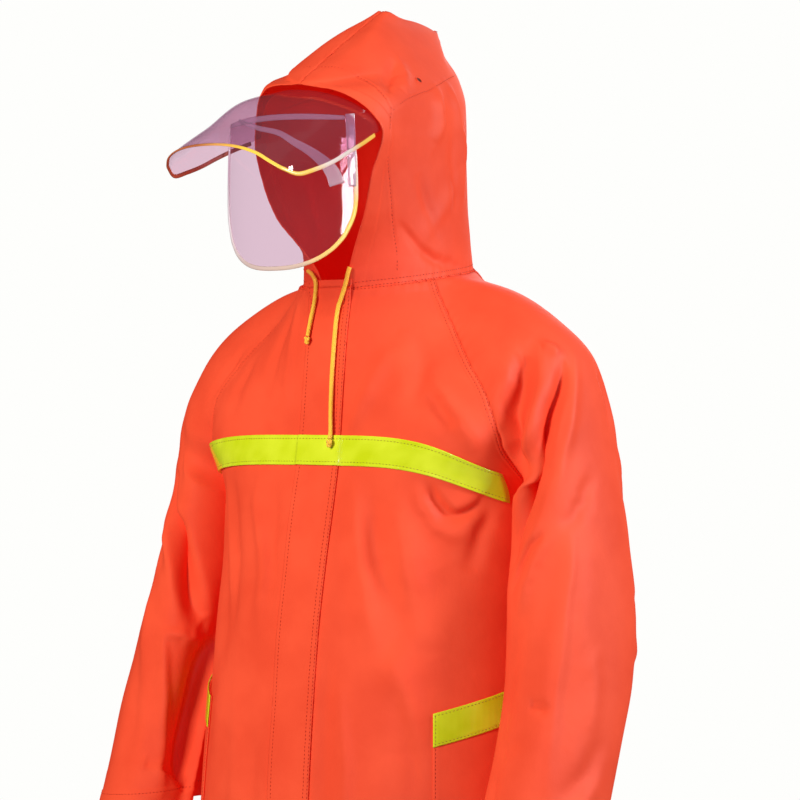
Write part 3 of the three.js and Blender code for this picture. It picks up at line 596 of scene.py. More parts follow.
# Creases of the fronts, the back and the hood: width at the start and at the end, depth, steepness and the
# points of the line. Steepness 1 makes the right flank steep, looking along the line with the outside up,
# and -1 the left one.
CREASES = [
    # left front: folds that hang from the tape, and a short deep one under the arm
    (12, 20, 6, 0.5, (56, -138, -240), (60, -140, -262), (68, -146, -300), (80, -152, -345),
     (94, -156, -392), (112, -158, -445)),
    (13, 24, -6, 0, (80, -136, -254), (88, -143, -305), (106, -145, -358), (122, -148, -410),
     (140, -146, -460)),
    (14, 26, 8, 0, (112, -130, -270), (126, -136, -320), (142, -138, -375), (152, -138, -430)),
    (14, 24, 5, 0, (118, -150, -420), (140, -150, -480), (146, -152, -540)),
    (8, 9, -9, 0.6, (146, -114, -244), (155, -107, -264), (170, -98, -275), (185, -85, -270),
     (197, -72, -254)),
    (8, 9, 4, 0, (134, -119, -248), (142, -116, -272), (152, -109, -290), (168, -98, -298),
     (184, -86, -296)),
    (9, 12, -5, 0, (200, -62, -262), (197, -82, -300), (190, -98, -350)),
    (13, 16, -4, 0.4, (128, -158, -470), (146, -156, -530), (154, -154, -610)),
    (11, 14, 4, 0.5, (62, -174, -470), (74, -182, -540), (78, -192, -620), (72, -198, -720)),
    (10, 13, -3, 0, (44, -176, -430), (50, -186, -550), (46, -196, -650)),
    (10, 15, 5, 0.3, (42, -130, -180), (50, -126, -162), (65, -120, -128), (79, -110, -99),
     (86, -104, -76)),
    (12, 14, 6, -0.3, (136, -98, -116), (150, -102, -136), (166, -102, -156), (186, -96, -184),
     (198, -82, -212)),
    (8, 11, -6, 0.3, (140, -104, -132), (150, -106, -146), (164, -106, -162), (178, -100, -178)),
    (12, 16, 3, 0, (96, -98, -60), (101, -102, -99), (104, -116, -145)),
    (10, 14, -3, 0, (120, -92, -84), (126, -100, -120), (130, -110, -160)),
    (10, 10, -3, 0, (175, -156, -720), (180, -152, -760)),
    # right front
    (9, 13, 5, 0.5, (-88, -128, -240), (-91, -134, -263), (-80, -143, -300), (-68, -151, -332),
     (-57, -168, -425)),
    (9, 12, -4, 0, (-66, -136, -240), (-60, -146, -290), (-48, -166, -380)),
    (10, 14, -4, 0, (-150, -118, -240), (-138, -130, -290), (-124, -146, -360), (-112, -158, -430)),
    (9, 11, 4, 0.4, (-166, -104, -236), (-156, -114, -290), (-141, -123, -336), (-128, -140, -400)),
    (12, 14, -4, 0, (-60, -182, -530), (-66, -190, -630), (-60, -198, -730)),
    (12, 14, 3, 0, (-100, -170, -480), (-96, -178, -560), (-100, -186, -660)),
    (9, 11, -4, 0, (-72, -98, -40), (-86, -102, -90), (-92, -116, -150)),
    (8, 10, 3, 0.4, (-56, -98, -30), (-58, -111, -74), (-57, -123, -145), (-56, -130, -176)),
    (9, 12, -3, 0, (-140, -92, -90), (-146, -98, -130), (-150, -108, -170)),
    # back
    (12, 12, -5, 0.4, (176, 96, -170), (150, 118, -230), (110, 134, -300)),
    (14, 14, -5, 0, (-176, 96, -170), (-146, 120, -236), (-104, 136, -310)),
    (16, 16, 4, 0, (150, 116, -180), (110, 132, -260), (84, 146, -340)),
    (15, 15, 4, 0.4, (-148, 118, -190), (-112, 132, -270), (-80, 146, -350)),
    (14, 14, -4, 0, (20, 152, -380), (36, 156, -500), (30, 160, -640)),
    (12, 12, 3.5, -0.4, (-16, 154, -400), (-26, 158, -540), (-20, 162, -680)),
    (16, 16, -4, 0, (140, 136, -520), (156, 132, -640), (150, 138, -760)),
    (15, 15, -4, 0, (-150, 134, -500), (-166, 128, -620), (-160, 134, -740)),
    (12, 12, 3, 0, (30, 134, -110), (0, 138, -140), (-34, 134, -112)),
    # hood
    (9, 9, -5, 0.7, (55, -57, 251), (63, -73, 237), (76, -97, 220), (87, -115, 204)),
    (8, 8, 4, 0, (57, -48, 250), (72, -60, 234), (88, -86, 208)),
    (10, 12, 5, 0.5, (80, -10, 224), (89, -16, 202), (91, -19, 176), (91, -31, 148)),
    (12, 14, 3, 0.3, (87, 21, 113), (90, -1, 91), (89, -26, 64), (84, -49, 36)),
    (9, 10, 5, 0.6, (74, 22, 229), (84, 24, 197), (84, 35, 165), (86, 44, 130)),
    (7, 8, -4, 0, (84, -49, 24), (92, -20, 17), (93, 19, 12)),
    (10, 10, -3.5, 0, (88, 8, 186), (92, 14, 130), (93, 18, 76)),
    (9, 9, 3, 0.4, (76, 44, 190), (84, 44, 140), (88, 40, 84)),
    (9, 9, -3, 0, (92, -60, 120), (94, -40, 80), (90, -20, 40)),
    (6, 7, -3, 0.5, (80, -80, 60), (86, -50, 34), (90, -20, 18)),
    (9, 9, -3, 0, (62, 60, 262), (44, 84, 280), (20, 92, 290)),
    (12, 12, 3, 0, (-93, -40, 176), (-94, -28, 120), (-92, -16, 70)),
    (10, 10, -3, 0, (-88, 6, 190), (-92, 12, 134), (-92, 20, 80)),
    (9, 9, -3, 0, (-92, -58, 116), (-94, -38, 76), (-90, -18, 36)),
    (9, 9, 3, 0, (-60, 80, 200), (-66, 78, 140), (-66, 76, 80)),
    (9, 9, -3, 0, (40, 98, 220), (46, 96, 150), (50, 98, 80)),
    (10, 10, -3, 0, (-36, 100, 210), (-44, 98, 150), (-50, 98, 76)),
]
# Creases of the sleeves, in the same way
SLEEVE_CREASES = [
    # left sleeve: two long pointed troughs below the shoulder, between ridges, then broad facets
    (15, 16, -26, -0.3, (235, -49, -90), (236, -63, -122), (232, -72, -145), (227, -74, -173),
     (222, -70, -205), (221, -74, -240)),
    (10, 15, -27, 0.8, (271, -22, -108), (275, -35, -134), (276, -47, -156), (275, -57, -181),
     (270, -65, -207), (262, -74, -238), (251, -81, -272), (240, -84, -308), (234, -92, -345)),
    (9, 9, 5, 0, (246, -36, -90), (251, -49, -113), (254, -62, -145), (252, -70, -179), (244, -76, -220),
     (236, -84, -262)),
    (8, 13, 6, -0.3, (276, -2, -90), (284, -20, -130), (285, -38, -170), (283, -52, -205),
     (278, -66, -245), (271, -82, -285), (258, -92, -325)),
    (6, 7, 5, 0, (240, -30, -84), (252, -26, -84), (262, -20, -92)),
    (8, 8, -4, 0, (276, 40, -110), (287, 44, -150), (294, 34, -180)),
    (5, 6, -7, 0.5, (280, -86, -294), (270, -91, -310), (257, -96, -337), (250, -98, -360)),
    (6, 8, 4, 0, (290, -86, -300), (280, -98, -322), (268, -104, -352), (262, -108, -384)),
    (12, 24, 7, 0.6, (302, -62, -300), (308, -71, -328), (310, -82, -367), (312, -96, -422),
     (311, -108, -465), (314, -123, -518), (314, -136, -580)),
    (12, 14, -4, 0, (264, -104, -370), (260, -114, -420), (254, -128, -480), (250, -150, -560)),
    (5, 6, -5, 0.4, (290, -122, -478), (301, -119, -484), (308, -117, -490)),
    (9, 9, -3, 0, (284, -134, -520), (262, -128, -540)),
    (12, 12, 3, 0, (330, -60, -420), (338, -66, -470), (334, -80, -520)),
    (9, 10, -4, 0, (322, -20, -226), (326, -50, -258), (312, -76, -286)),
    (12, 14, -4, 0, (344, -60, -520), (338, -92, -560), (318, -122, -590)),
    (10, 12, 3, 0, (345, -70, -560), (336, -110, -600), (312, -140, -628)),
    (11, 13, -4, 0.3, (258, -140, -560), (262, -158, -610), (250, -165, -640)),
    # right sleeve: a deep pointed trough, a lit shelf below it, then an edge with the cloth turned away
    (8, 8, -5, 0, (-176, -62, -88), (-196, -78, -118), (-214, -80, -148)),
    (11, 20, -30, 0.6, (-282, -74, -240), (-272, -84, -280), (-252, -93, -312), (-240, -93, -350),
     (-232, -82, -390), (-227, -64, -428)),
    (8, 9, 6, 0.4, (-286, -78, -240), (-280, -86, -290), (-263, -99, -341), (-249, -101, -388),
     (-238, -92, -420)),
    (7, 7, 6, 0, (-262, -108, -428), (-246, -102, -432), (-234, -84, -438), (-228, -62, -448)),
    (10, 13, 7, 0.7, (-262, -108, -430), (-257, -113, -455), (-252, -117, -487), (-244, -125, -534),
     (-235, -139, -605), (-232, -146, -640)),
    (34, 60, -48, 0.5, (-231, -40, -440), (-230, -50, -510), (-228, -64, -560), (-225, -98, -650)),
    (9, 10, -5, 0, (-300, -66, -300), (-290, -84, -330), (-276, -98, -360)),
    (9, 12, 4, 0, (-296, -84, -350), (-290, -100, -420), (-286, -116, -500)),
    (12, 14, -4, 0, (-296, -104, -450), (-290, -126, -520), (-282, -146, -590)),
    # sleeves behind
    (10, 12, -9, 0.6, (262, 70, -150), (256, 78, -220), (240, 74, -290)),
    (9, 9, 5, 0, (300, 56, -200), (288, 66, -260), (262, 70, -320)),
    (10, 10, -6, 0.5, (330, 40, -370), (300, 52, -400), (262, 52, -420)),
    (9, 9, 4, 0, (334, 30, -420), (306, 40, -450), (266, 36, -470)),
    (10, 12, -9, -0.6, (-262, 70, -150), (-258, 78, -216), (-242, 74, -280)),
    (9, 9, 5, 0, (-302, 54, -210), (-286, 66, -270), (-260, 70, -330)),
    (10, 10, -6, -0.5, (-330, 40, -360), (-302, 52, -392), (-264, 52, -414)),
    (9, 9, 4, 0, (-334, 28, -430), (-304, 38, -458), (-266, 34, -476)),
]


def smooth_path(points, step):
    """Points a step apart on the smooth curve through some points."""
    points = np.array(points, float)
    padded = np.vstack([2 * points[0] - points[1], points, 2 * points[-1] - points[-2]])
    dense = []
    for a, b, c, d in zip(padded, padded[1:], padded[2:], padded[3:]):
        t = np.linspace(0, 1, 24, endpoint=False)[:, None]
        rising = 2 * b + (c - a) * t
        dense.append(0.5 * (rising + (2 * a - 5 * b + 4 * c - d) * t**2 + (3 * b - a - 3 * c + d) * t**3))
    dense = np.vstack([*dense, points[-1:]])
    run = run_along(dense)
    return between(np.linspace(0, run[-1], max(3, round(run[-1] / step))), run, dense)


REACH_TO_SHEET = 26  # a crease further than this from a sheet isn't on it
LEAST_SHARE = 0.4  # nor is one with less than this share of its line near the sheet


def near_line(flat, line, reach):
    """Which points lie in the box round a line, and the distance of each from each point of the line."""
    near = np.flatnonzero(np.all((flat > line.min(0) - reach) & (flat < line.max(0) + reach), axis=1))
    return near, np.linalg.norm(flat[near][:, None] - line[None], axis=2)


def lay_folds(points, normals, folds):
    """Moves each fold's line onto a sheet of points, and leaves out what lies far from it. Each laid fold
    also holds the direction across it, along the sheet, to the right of the line."""
    flat, facing = points.reshape(-1, 3), normals.reshape(-1, 3)
    laid_folds = []
    for start_width, end_width, depth, steep, *line in folds:
        line = smooth_path(line, 3)
        near, gaps = near_line(flat, line, REACH_TO_SHEET)
        if not len(near):
            continue
        on_sheet = gaps.min(axis=0) < REACH_TO_SHEET
        if on_sheet.sum() < LEAST_SHARE * len(line):
            continue
        nearest = near[gaps.argmin(axis=0)][on_sheet][:: max(1, on_sheet.sum() // 8)]
        laid = smooth_path(flat[nearest], 2)
        out = between(np.linspace(0, 1, len(laid)), np.linspace(0, 1, len(nearest)), facing[nearest])
        aside = unit(np.cross(out, np.gradient(laid, axis=0)))
        laid_folds.append((start_width, end_width, depth, steep, laid, aside))
    return laid_folds


STEEPEST = 0.75  # how much narrower a flank gets where it is steep
FLANKS_MEET = 2.5  # the distance from the line over which one flank turns into the other
WIDTHS_REACHED = 2.6  # a fold is no longer felt so many widths from its line


def fold_relief(points, laid_folds):
    """How far the cloth stands out, or in, near the folds that were laid on it."""
    flat = points.reshape(-1, 3)
    relief = np.zeros(len(flat))
    for start_width, end_width, depth, steep, line, aside in laid_folds:
        near, gaps = near_line(flat, line, WIDTHS_REACHED * max(start_width, end_width))
        if not len(near):
            continue
        nearest = gaps.argmin(axis=1)
        along = nearest / (len(line) - 1)
        side = np.einsum("ij,ij->i", flat[near] - line[nearest], aside[nearest]) / FLANKS_MEET
        flank = 1 - STEEPEST * abs(steep) * smooth(0.5 + 0.5 * side * np.sign(steep))
        width = mix(start_width, end_width, along) * flank
        taper = np.clip(4 * along * (1 - along) + 0.1, 0, 1) ** 0.7
        relief[near] += depth * np.exp(-((gaps.min(axis=1) / width) ** 2)) * taper
    return relief.reshape(points.shape[:-1])


def large_relief(points):
    """The model's folds, which fade towards their ends as a cosine."""
    flat = points.reshape(-1, 3)
    relief = np.zeros(len(flat))
    for width, depth, a, b in LARGE_FOLDS:
        a, b = np.array(a, float), np.array(b, float)
        t = np.clip((flat - a) @ (b - a) / ((b - a) @ (b - a)), 0, 1)
        gap = np.linalg.norm(flat - (a + t[:, None] * (b - a)), axis=1)
        relief += depth * np.exp(-((gap / width) ** 2)) * np.cos((t - 0.5) * 1.9)
    return relief.reshape(points.shape[:-1])


WAVES = [(0.9, 61, 0.4), (0.7, 47, 1.9), (0.45, 29, 3.1), (0.3, 19, 5.2)]  # depth, length and start


def unevenness(points):
    """Slow waves that no cloth is without, from a few crossing sines."""
    x, y, z = points[..., 0], points[..., 1], points[..., 2]
    total = 0
    for depth, length, start in WAVES:
        total = total + depth * np.sin((x + 0.6 * z) / length + start + 1.3 * np.sin(y / length + start))
        total = total + depth * np.sin((0.7 * z - y) / length * 0.8 + 2 * start + np.sin(x / length))
    return total * 0.5


def cloth_relief(points, laid_folds, calm=1.0):
    """Folds and slow waves. Where calm falls to 0, by a seam, the creases fade out."""
    return large_relief(points) + calm * fold_relief(points, laid_folds) + unevenness(points)


def creased(sheet, creases, calm):
    """The relief of a sheet from its own share of the creases."""
    return cloth_relief(sheet.points, lay_folds(sheet.points, sheet.normals, creases), calm)


def shares(length, step, fine_low=0, fine_high=0):
    """Shares of a length: about 1 mm apart for the first and last few millimetres, and a step between."""
    middle = np.linspace(fine_low, length - fine_high, max(2, round((length - fine_low - fine_high) / step)))
    every = np.concatenate([np.arange(0, fine_low, 1.1), middle, length - np.arange(0, fine_high, 1.1)])
    return np.unique(np.round(every, 4)) / length


class Sheet:
    """A grid of points on a cloth piece, with each point's distance from the four edges."""

    def __init__(self, points):
        self.points = points
        across = np.linalg.norm(np.diff(points, axis=1), axis=2)
        along = np.linalg.norm(np.diff(points, axis=0), axis=2)
        self.from_left = np.pad(np.cumsum(across, axis=1), ((0, 0), (1, 0)))
        self.from_right = self.from_left[:, -1:] - self.from_left
        self.from_low = np.pad(np.cumsum(along, axis=0), ((1, 0), (0, 0)))
        self.from_high = self.from_low[-1:] - self.from_low
        diagonals = points[1:, 1:] - points[:-1, :-1], points[1:, :-1] - points[:-1, 1:]
        self.area = 0.5 * np.linalg.norm(np.cross(*diagonals), axis=2).sum()
        du, dv = np.gradient(points, axis=1), np.gradient(points, axis=0)
        normals = np.cross(du, dv)
        closed = np.linalg.norm(points[:, 0] - points[:, -1], axis=1) < 0.05
        joint = normals[:, 0] + normals[:, -1]
        normals[closed, 0] = normals[closed, -1] = joint[closed]
        self.normals = unit(normals)

    def moved(self, relief):
        """The same sheet with its points moved out by the relief, and its normals worked out anew."""
        sheet = Sheet(self.points + self.normals * relief[..., None])
        for name in ("from_left", "from_right", "from_low", "from_high", "area"):
            setattr(sheet, name, getattr(self, name))
        return sheet

    def flipped(self):
        """The same sheet on the other side of the middle, with its faces still out."""
        return Sheet(self.points[:, ::-1] * [-1, 1, 1])

    def line(self, edge, distance):
        """Points and normals along an edge, a distance inside it."""
        gap = getattr(self, edge)
        points, normals = self.points, self.normals
        if edge in ("from_low", "from_high"):
            gap, points, normals = gap.T, points.transpose(1, 0, 2), normals.transpose(1, 0, 2)
        if edge in ("from_right", "from_high"):
            gap, points, normals = gap[:, ::-1], points[:, ::-1], normals[:, ::-1]
        rows = [row for row in range(len(gap)) if gap[row, -1] > distance]
        placed = [between(distance, gap[row], points[row]) for row in rows]
        facing = [between(distance, gap[row], normals[row]) for row in rows]
        return np.array(placed), unit(np.array(facing))


def felled(gap, width=7.5):
    """The doubled band beside a seam: one layer higher, with a groove under each line of stitches."""
    band = 1.0 * (1 - smooth((gap - width) / 1.8))
    grooves = np.exp(-(((gap - 1.5) / 0.8) ** 2)) + np.exp(-(((gap - width + 1.3) / 0.8) ** 2))
    return band - 0.55 * grooves


def seam_dip(gap, depth=1.0, reach=1.8):
    return -depth * np.exp(-((gap / reach) ** 2))


def puckers(gap, along, depth=0.22, reach=11):
    """Small pulls across a sewn line, uneven in spacing."""
    wave = np.sin(along / 2.3 + 2.2 * np.sin(along / 17))
    wave += 0.6 * np.sin(along / 4.9 + 1.5 * np.sin(along / 41))
    return depth * np.exp(-((gap / reach) ** 2)) * wave


STITCH = {"length": 3.1, "gap": 1.3, "width": 1.0, "height": 0.6}


def stitch_mesh(name, lines, material):
    """Stitches along lines on the cloth, each a small lens of thread, joined in one mesh."""
    points, faces = [], []
    pitch = STITCH["length"] + STITCH["gap"]
    for path, normals in lines:
        if len(path) < 2:
            continue
        run = run_along(path)
        starts = np.arange(1.0, run[-1] - pitch, pitch)
        where = starts[:, None] + np.array([0, 0.5, 1]) * STITCH["length"]
        placed = between(where, run, path)
        up = unit(between(where[:, 1], run, normals))
        ahead = unit(placed[:, 2] - placed[:, 0])
        aside = unit(np.cross(ahead, up)) * STITCH["width"] / 2
        lift = up * STITCH["height"] / 2
        middle = placed[:, 1] + lift * 0.6
        corners = [placed[:, 0], placed[:, 2], middle + aside, middle + lift, middle - aside, middle - lift]
        first = len(points) * 6
        points.extend(np.stack(corners, axis=1))
        for k in range(len(starts)):
            n = first + k * 6
            ring = [n + 2, n + 3, n + 4, n + 5]
            for i in range(4):
                a, b = ring[i], ring[(i + 1) % 4]
                faces.append((n, b, a))
                faces.append((n + 1, a, b))
    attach(mesh_piece(name, np.concatenate(points), faces, material), "root")


def wall_piece(name, node, sheet, material, thickness):
    """A closed wall from a sheet. It rides on the coat and stands for the model's node."""
    rows, columns = sheet.points.shape[:2]
    uvs = np.stack([sheet.from_left, sheet.from_low], axis=-1) * MM
    points, faces = sheet.points.reshape(-1, 3), grid_faces(rows, columns)
    piece = mesh_piece(name, points, faces, material, uvs.reshape(-1, 2))
    merge_points(piece)
    thicken(piece, thickness)
    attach(piece, "root")
    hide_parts(node)
    return piece


def cloth_piece(name, node, sheet, material, thickness):
    """A wall from a sheet."""
    piece = wall_piece(name, node, sheet, material, thickness)
    return piece


# Cords: each is a free end out of the hood's casing, with a knot
CORD_ROUTES = {
    "left": [
        (32.8, -116.4, 9), (31.8, -117.4, 5), (31, -118, 1), (28.5, -118.6, -9), (26.3, -118.7, -15.5),
        (24, -119, -22), (21.3, -119.6, -29.5), (19, -120.6, -37), (17.6, -122.7, -52), (17.2, -124.8, -69),
        (16.8, -126.9, -90), (16.5, -129.2, -115), (17, -131.3, -138), (18, -133.4, -160), (20, -136.1, -180),
        (20.5, -138.4, -190),
    ],
    "right": [
        (-30.5, -115, 6.5), (-26, -117.2, 4.6), (-21, -119.2, 2), (-17.3, -120.6, -1.5), (-14.6, -121.6, -5),
        (-13.4, -121.8, -9.5), (-13.5, -121.6, -14), (-14.1, -121.3, -19), (-15, -121.1, -24),
        (-16.1, -120.9, -30), (-17.5, -120.9, -36), (-18.7, -121.4, -42), (-20, -121.9, -48),
        (-22, -123.2, -60), (-23.5, -124.3, -70),
    ],
}


def tube_mesh(name, path, section, material, up=None):
    """A closed tube swept along a path: a section of points across and up, or one for each point."""
    ahead = unit(np.gradient(path, axis=0))
    up = np.broadcast_to([0, -1.0, 0] if up is None else up, path.shape)
    across = unit(np.cross(ahead, up))
    rise = np.cross(across, ahead)
    if section.ndim == 2:
        section = np.broadcast_to(section, (len(path), *section.shape))
    rings = path[:, None] + across[:, None] * section[..., :1] + rise[:, None] * section[..., 1:]
    count = section.shape[1]
    rings = np.concatenate([rings, rings[:, :1]], axis=1)
    run = run_along(path)
    girth = np.linspace(0, 1, count + 1)
    uvs = np.stack(np.broadcast_arrays(run[:, None] * MM, girth[None, :] * count * MM), axis=-1)
    points = np.vstack([rings.reshape(-1, 3), path[:1], path[-1:]])
    uvs = np.vstack([uvs.reshape(-1, 2), uvs[0, :1], uvs[-1, :1]])
    faces = grid_faces(len(path), count + 1).tolist()
    start, end = len(points) - 2, len(points) - 1
    last = (len(path) - 1) * (count + 1)
    for i in range(count):
        faces.append([start, i + 1, i])
        faces.append([end, last + i, last + i + 1])
    piece = mesh_piece(name, points, faces, material, uvs)
    merge_points(piece, turn_out=True)
    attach(piece, "root")
    return piece


def ring_section(radius, sides, flatten=1.0):
    turn = np.linspace(0, 2 * math.pi, sides, endpoint=False)
    return np.stack([np.cos(turn) * radius, np.sin(turn) * radius * flatten], axis=-1)


def braided_section(path):
    """A round section whose radius swells with the strands of a braid, eight round and 9 mm a turn."""
    sides, strands, turn_length = 24, 8, 9.0
    run = run_along(path)[:, None]
    turn = np.linspace(0, 2 * math.pi, sides, endpoint=False)[None, :]
    one_way = np.sin(strands / 2 * turn + run / turn_length * 2 * math.pi)
    other_way = np.sin(strands / 2 * turn - run / turn_length * 2 * math.pi)
    radius = CORD_DIAMETER / 2 * (0.97 + 0.05 * np.maximum(one_way, other_way))
    return np.stack([np.cos(turn) * radius, np.sin(turn) * radius], axis=-1)


def drawcord(side):
    path = smooth_path(CORD_ROUTES[side], 0.9)
    cord = tube_mesh(f"cord_{side}", path, braided_section(path), CORD_FINISH)
    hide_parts(f"drawcord_{side}")
    knot = overhand_knot(side, path[-1] + [0, -1.2, -KNOT_DIAMETER / 2 - SEAM_GAP])
    length = run_along(path)[-1] * MM


def overhand_knot(side, centre):
    """A small overhand knot: the cord's own trefoil turn, pulled tight."""
    t = np.linspace(0, 2 * math.pi, 60)
    turn = np.stack([np.sin(t) + 2 * np.sin(2 * t), -np.sin(3 * t), np.cos(t) - 2 * np.cos(2 * t)], axis=-1)
    path = centre + turn * [1.0, 1.1, 1.25]
    piece = tube_mesh(f"cord_knot_{side}", path, ring_section(1.6, 10), CORD_FINISH, up=[0, 0, 1.0])
    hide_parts(f"drawcord_knot_{side}")
    return piece


make_camera()
for side in SIDES:
    drawcord(side)


# Panels, from the hem's or the cuff's place in the tables of sections up to just below the neck. The
# functions that make them return the lines of their stitches.
HEM_PLACE = 2
NECK_PLACE = 0.002
PAST_SEAM = 1.004  # a front reaches this far past its seam line, which closes it on the sleeve


def panel_grid(points_of, across, along):
    u, v = np.meshgrid(across, along)
    return Sheet(points_of(u, v))


def front_sheet(side):
    across = shares(240, 3.0, 0, 12)
    along = shares(780, 3.6, 24, 12)
    sheet = panel_grid(
        lambda u, v: body_points(front_section, u * PAST_SEAM, mix(HEM_PLACE, NECK_PLACE, v)), across, along
    )
    return sheet if side == "left" else sheet.flipped()


FRONTS = {side: front_sheet(side) for side in SIDES}
FRONT_FOLDS = lay_folds(
    np.concatenate([sheet.points.reshape(-1, 3) for sheet in FRONTS.values()]),
    np.concatenate([sheet.normals.reshape(-1, 3) for sheet in FRONTS.values()]), CREASES,
)


def front_panel(side):
    sheet = FRONTS[side]
    seam = "from_right" if side == "left" else "from_left"
    to_seam = getattr(sheet, seam)
    relief = cloth_relief(sheet.points, FRONT_FOLDS, smooth(to_seam / CALM_BY_SEAM))
    relief += felled(to_seam) + puckers(to_seam, sheet.from_low)
    relief += seam_dip(sheet.from_high, 0.8, 1.5) + puckers(sheet.from_high, sheet.from_left, 0.3)
    relief += hem_band(sheet.from_low)
    sheet = sheet.moved(relief)
    cloth_piece(
        f"front_{side}_shell", f"front_{side}", sheet, CLOTH_FINISH, CLOTH
    )
    lines = [sheet.line(seam, gap) for gap in FELL_STITCHES]
    return [*lines, sheet.line("from_low", HEM_STITCHES), sheet.line("from_high", NECK_STITCHES)]


def hem_band(gap):
    """A turned-up hem: double for its width, with a stitched groove near its top."""
    return 0.9 * (1 - smooth((gap - HEM_WIDTH) / 2)) - 0.5 * np.exp(-(((gap - HEM_STITCHES) / 0.9) ** 2))


def back_panel():
    across = shares(480, 4.8, 4, 4)
    along = shares(790, 4.8, 22, 12)

    def points_of(u, v):
        share = u * 2 - 1
        points = body_points(back_section, np.abs(share), mix(HEM_PLACE, NECK_PLACE, v))
        points[..., 0] *= np.where(share < 0, 1, -1)
        return points

    sheet = panel_grid(points_of, across, along)
    calm = smooth(np.minimum(sheet.from_left, sheet.from_right) / CALM_BY_SEAM)
    relief = creased(sheet, CREASES, calm) + hem_band(sheet.from_low)
    relief += seam_dip(sheet.from_high, 0.8, 1.5) + puckers(sheet.from_high, sheet.from_left, 0.3)
    for edge in (sheet.from_left, sheet.from_right):
        relief += felled(edge) + puckers(edge, sheet.from_low)
    sheet = sheet.moved(relief)
    cloth_piece("back_shell", "back", sheet, CLOTH_FINISH, CLOTH)
    lines = [sheet.line(edge, gap) for edge in ("from_left", "from_right") for gap in FELL_STITCHES]
    return [*lines, sheet.line("from_low", HEM_STITCHES), sheet.line("from_high", NECK_STITCHES)]


def sleeve(side):
    across = shares(420, 3.2, 6, 6)
    along = shares(680, 3.5, 22, 10)
    sheet = panel_grid(lambda u, v: sleeve_points(u, mix(HEM_PLACE, NECK_PLACE, v)), across, along)
    if side == "right":
        sheet = sheet.flipped()
    calm = smooth(np.minimum(sheet.from_left, sheet.from_right) / CALM_BY_SEAM)
    relief = creased(sheet, SLEEVE_CREASES, calm) + hem_band(sheet.from_low)
    relief += seam_dip(sheet.from_high, 0.8, 1.5)
    for edge in (sheet.from_left, sheet.from_right):
        relief += seam_dip(edge, 0.7, 2.2) + puckers(edge, sheet.from_low, 0.3, 13)
    sheet = sheet.moved(relief)
    cloth_piece(
        f"sleeve_{side}_shell", f"sleeve_{side}", sheet, CLOTH_FINISH, CLOTH
    )
    return [sheet.line("from_low", HEM_STITCHES), sheet.line("from_high", NECK_STITCHES)]


# The hood's sewn lines, by points on the hood: the casing above the brow, the crown's seam behind the
# temple, and the side panel's seam down to the neck.
HOOD_LINES = {
    "casing": [
        (93, -115, 188), (85, -121, 205), (74, -123, 215), (59, -121, 224), (43, -126, 233),
        (31, -132, 239), (14, -138, 243), (2, -140, 244),
    ],
    "temple": [
        (93, -114, 187), (91, -88, 201), (86, -51, 213), (81, -19, 222), (69, 25, 237), (56, 60, 246),
    ],
    "side": [
        (93, -116, 186), (94, -121, 164), (90, -119, 142), (82, -104, 105), (73, -87, 58), (71, -77, 29),
        (71, -76, 4),
    ],
}


def curve_on(piece, points):
    """A smooth line through some points, laid on a piece's outer face. Returns its points and normals."""
    tree = BVHTree.FromObject(piece, bpy.context.evaluated_depsgraph_get())
    placed, facing = [], []
    for point in smooth_path(points, 2.0):
        outside = Vector(point * [1.25, 1.25, 1.0]) * MM
        spot, normal, _, _ = tree.find_nearest(Vector(point) * MM)
        if normal.dot(outside - spot) < 0:
            normal = -normal
        placed.append(np.array(spot) / MM)
        facing.append(np.array(normal))
    return np.array(placed), np.array(facing)


def hood(side):
    across = shares(330, 2.3, 10, 8)
    along = shares(400, 2.3, 10, 0)
    sign = SIDES[side]
    sheet = panel_grid(lambda u, v: hood_points(u if sign > 0 else 1 - u, v * 10, sign), across, along)
    front, rear = ("from_left", "from_right") if side == "left" else ("from_right", "from_left")
    to_front, to_rear = getattr(sheet, front), getattr(sheet, rear)
    at = np.broadcast_to(along[:, None] * 10, to_front.shape)
    open_edge = at < 7  # above the arch's top the two halves are sewn together
    seams = [[(x * sign, y, z) for x, y, z in line] for line in HOOD_LINES.values()]
    grooves = [(1.7, 1.7, -1.5, 0, *line) for line in seams]
    bands = [(4.5, 4.5, 0.9, 0, *line) for line in seams]
    calm = smooth((np.minimum(to_rear, sheet.from_low) + 4) / 14)
    relief = creased(sheet, CREASES, calm)
    relief += fold_relief(sheet.points, lay_folds(sheet.points, sheet.normals, grooves + bands))
    edge_fold = 0.9 * (1 - smooth((to_front - 20) / 2)) + seam_dip(to_front, 0.9, 1.2)
    relief += np.where(open_edge, edge_fold, seam_dip(to_front, 0.8, 1.6))
    relief += np.where(open_edge, 0.5, 1) * puckers(to_front, sheet.from_low, 0.3, 8)
    relief += seam_dip(to_rear, 0.8, 1.6) + puckers(to_rear, sheet.from_low, 0.25, 8)
    near_neck = 1 - smooth(sheet.from_low / 5)
    relief += 0.7 * near_neck + puckers(sheet.from_low, sheet.from_left, 0.35, 14)
    sheet = sheet.moved(relief)
    sheet.points[..., 2] -= 1.5 * near_neck
    piece = cloth_piece(
        f"hood_{side}_shell", f"hood_{side}", sheet, CLOTH_FINISH, CLOTH
    )
    eyelet(side, piece)
    low_lines = [sheet.line("from_low", gap) for gap in HOOD_STITCHES]
    return low_lines + [curve_on(piece, line) for line in seams]


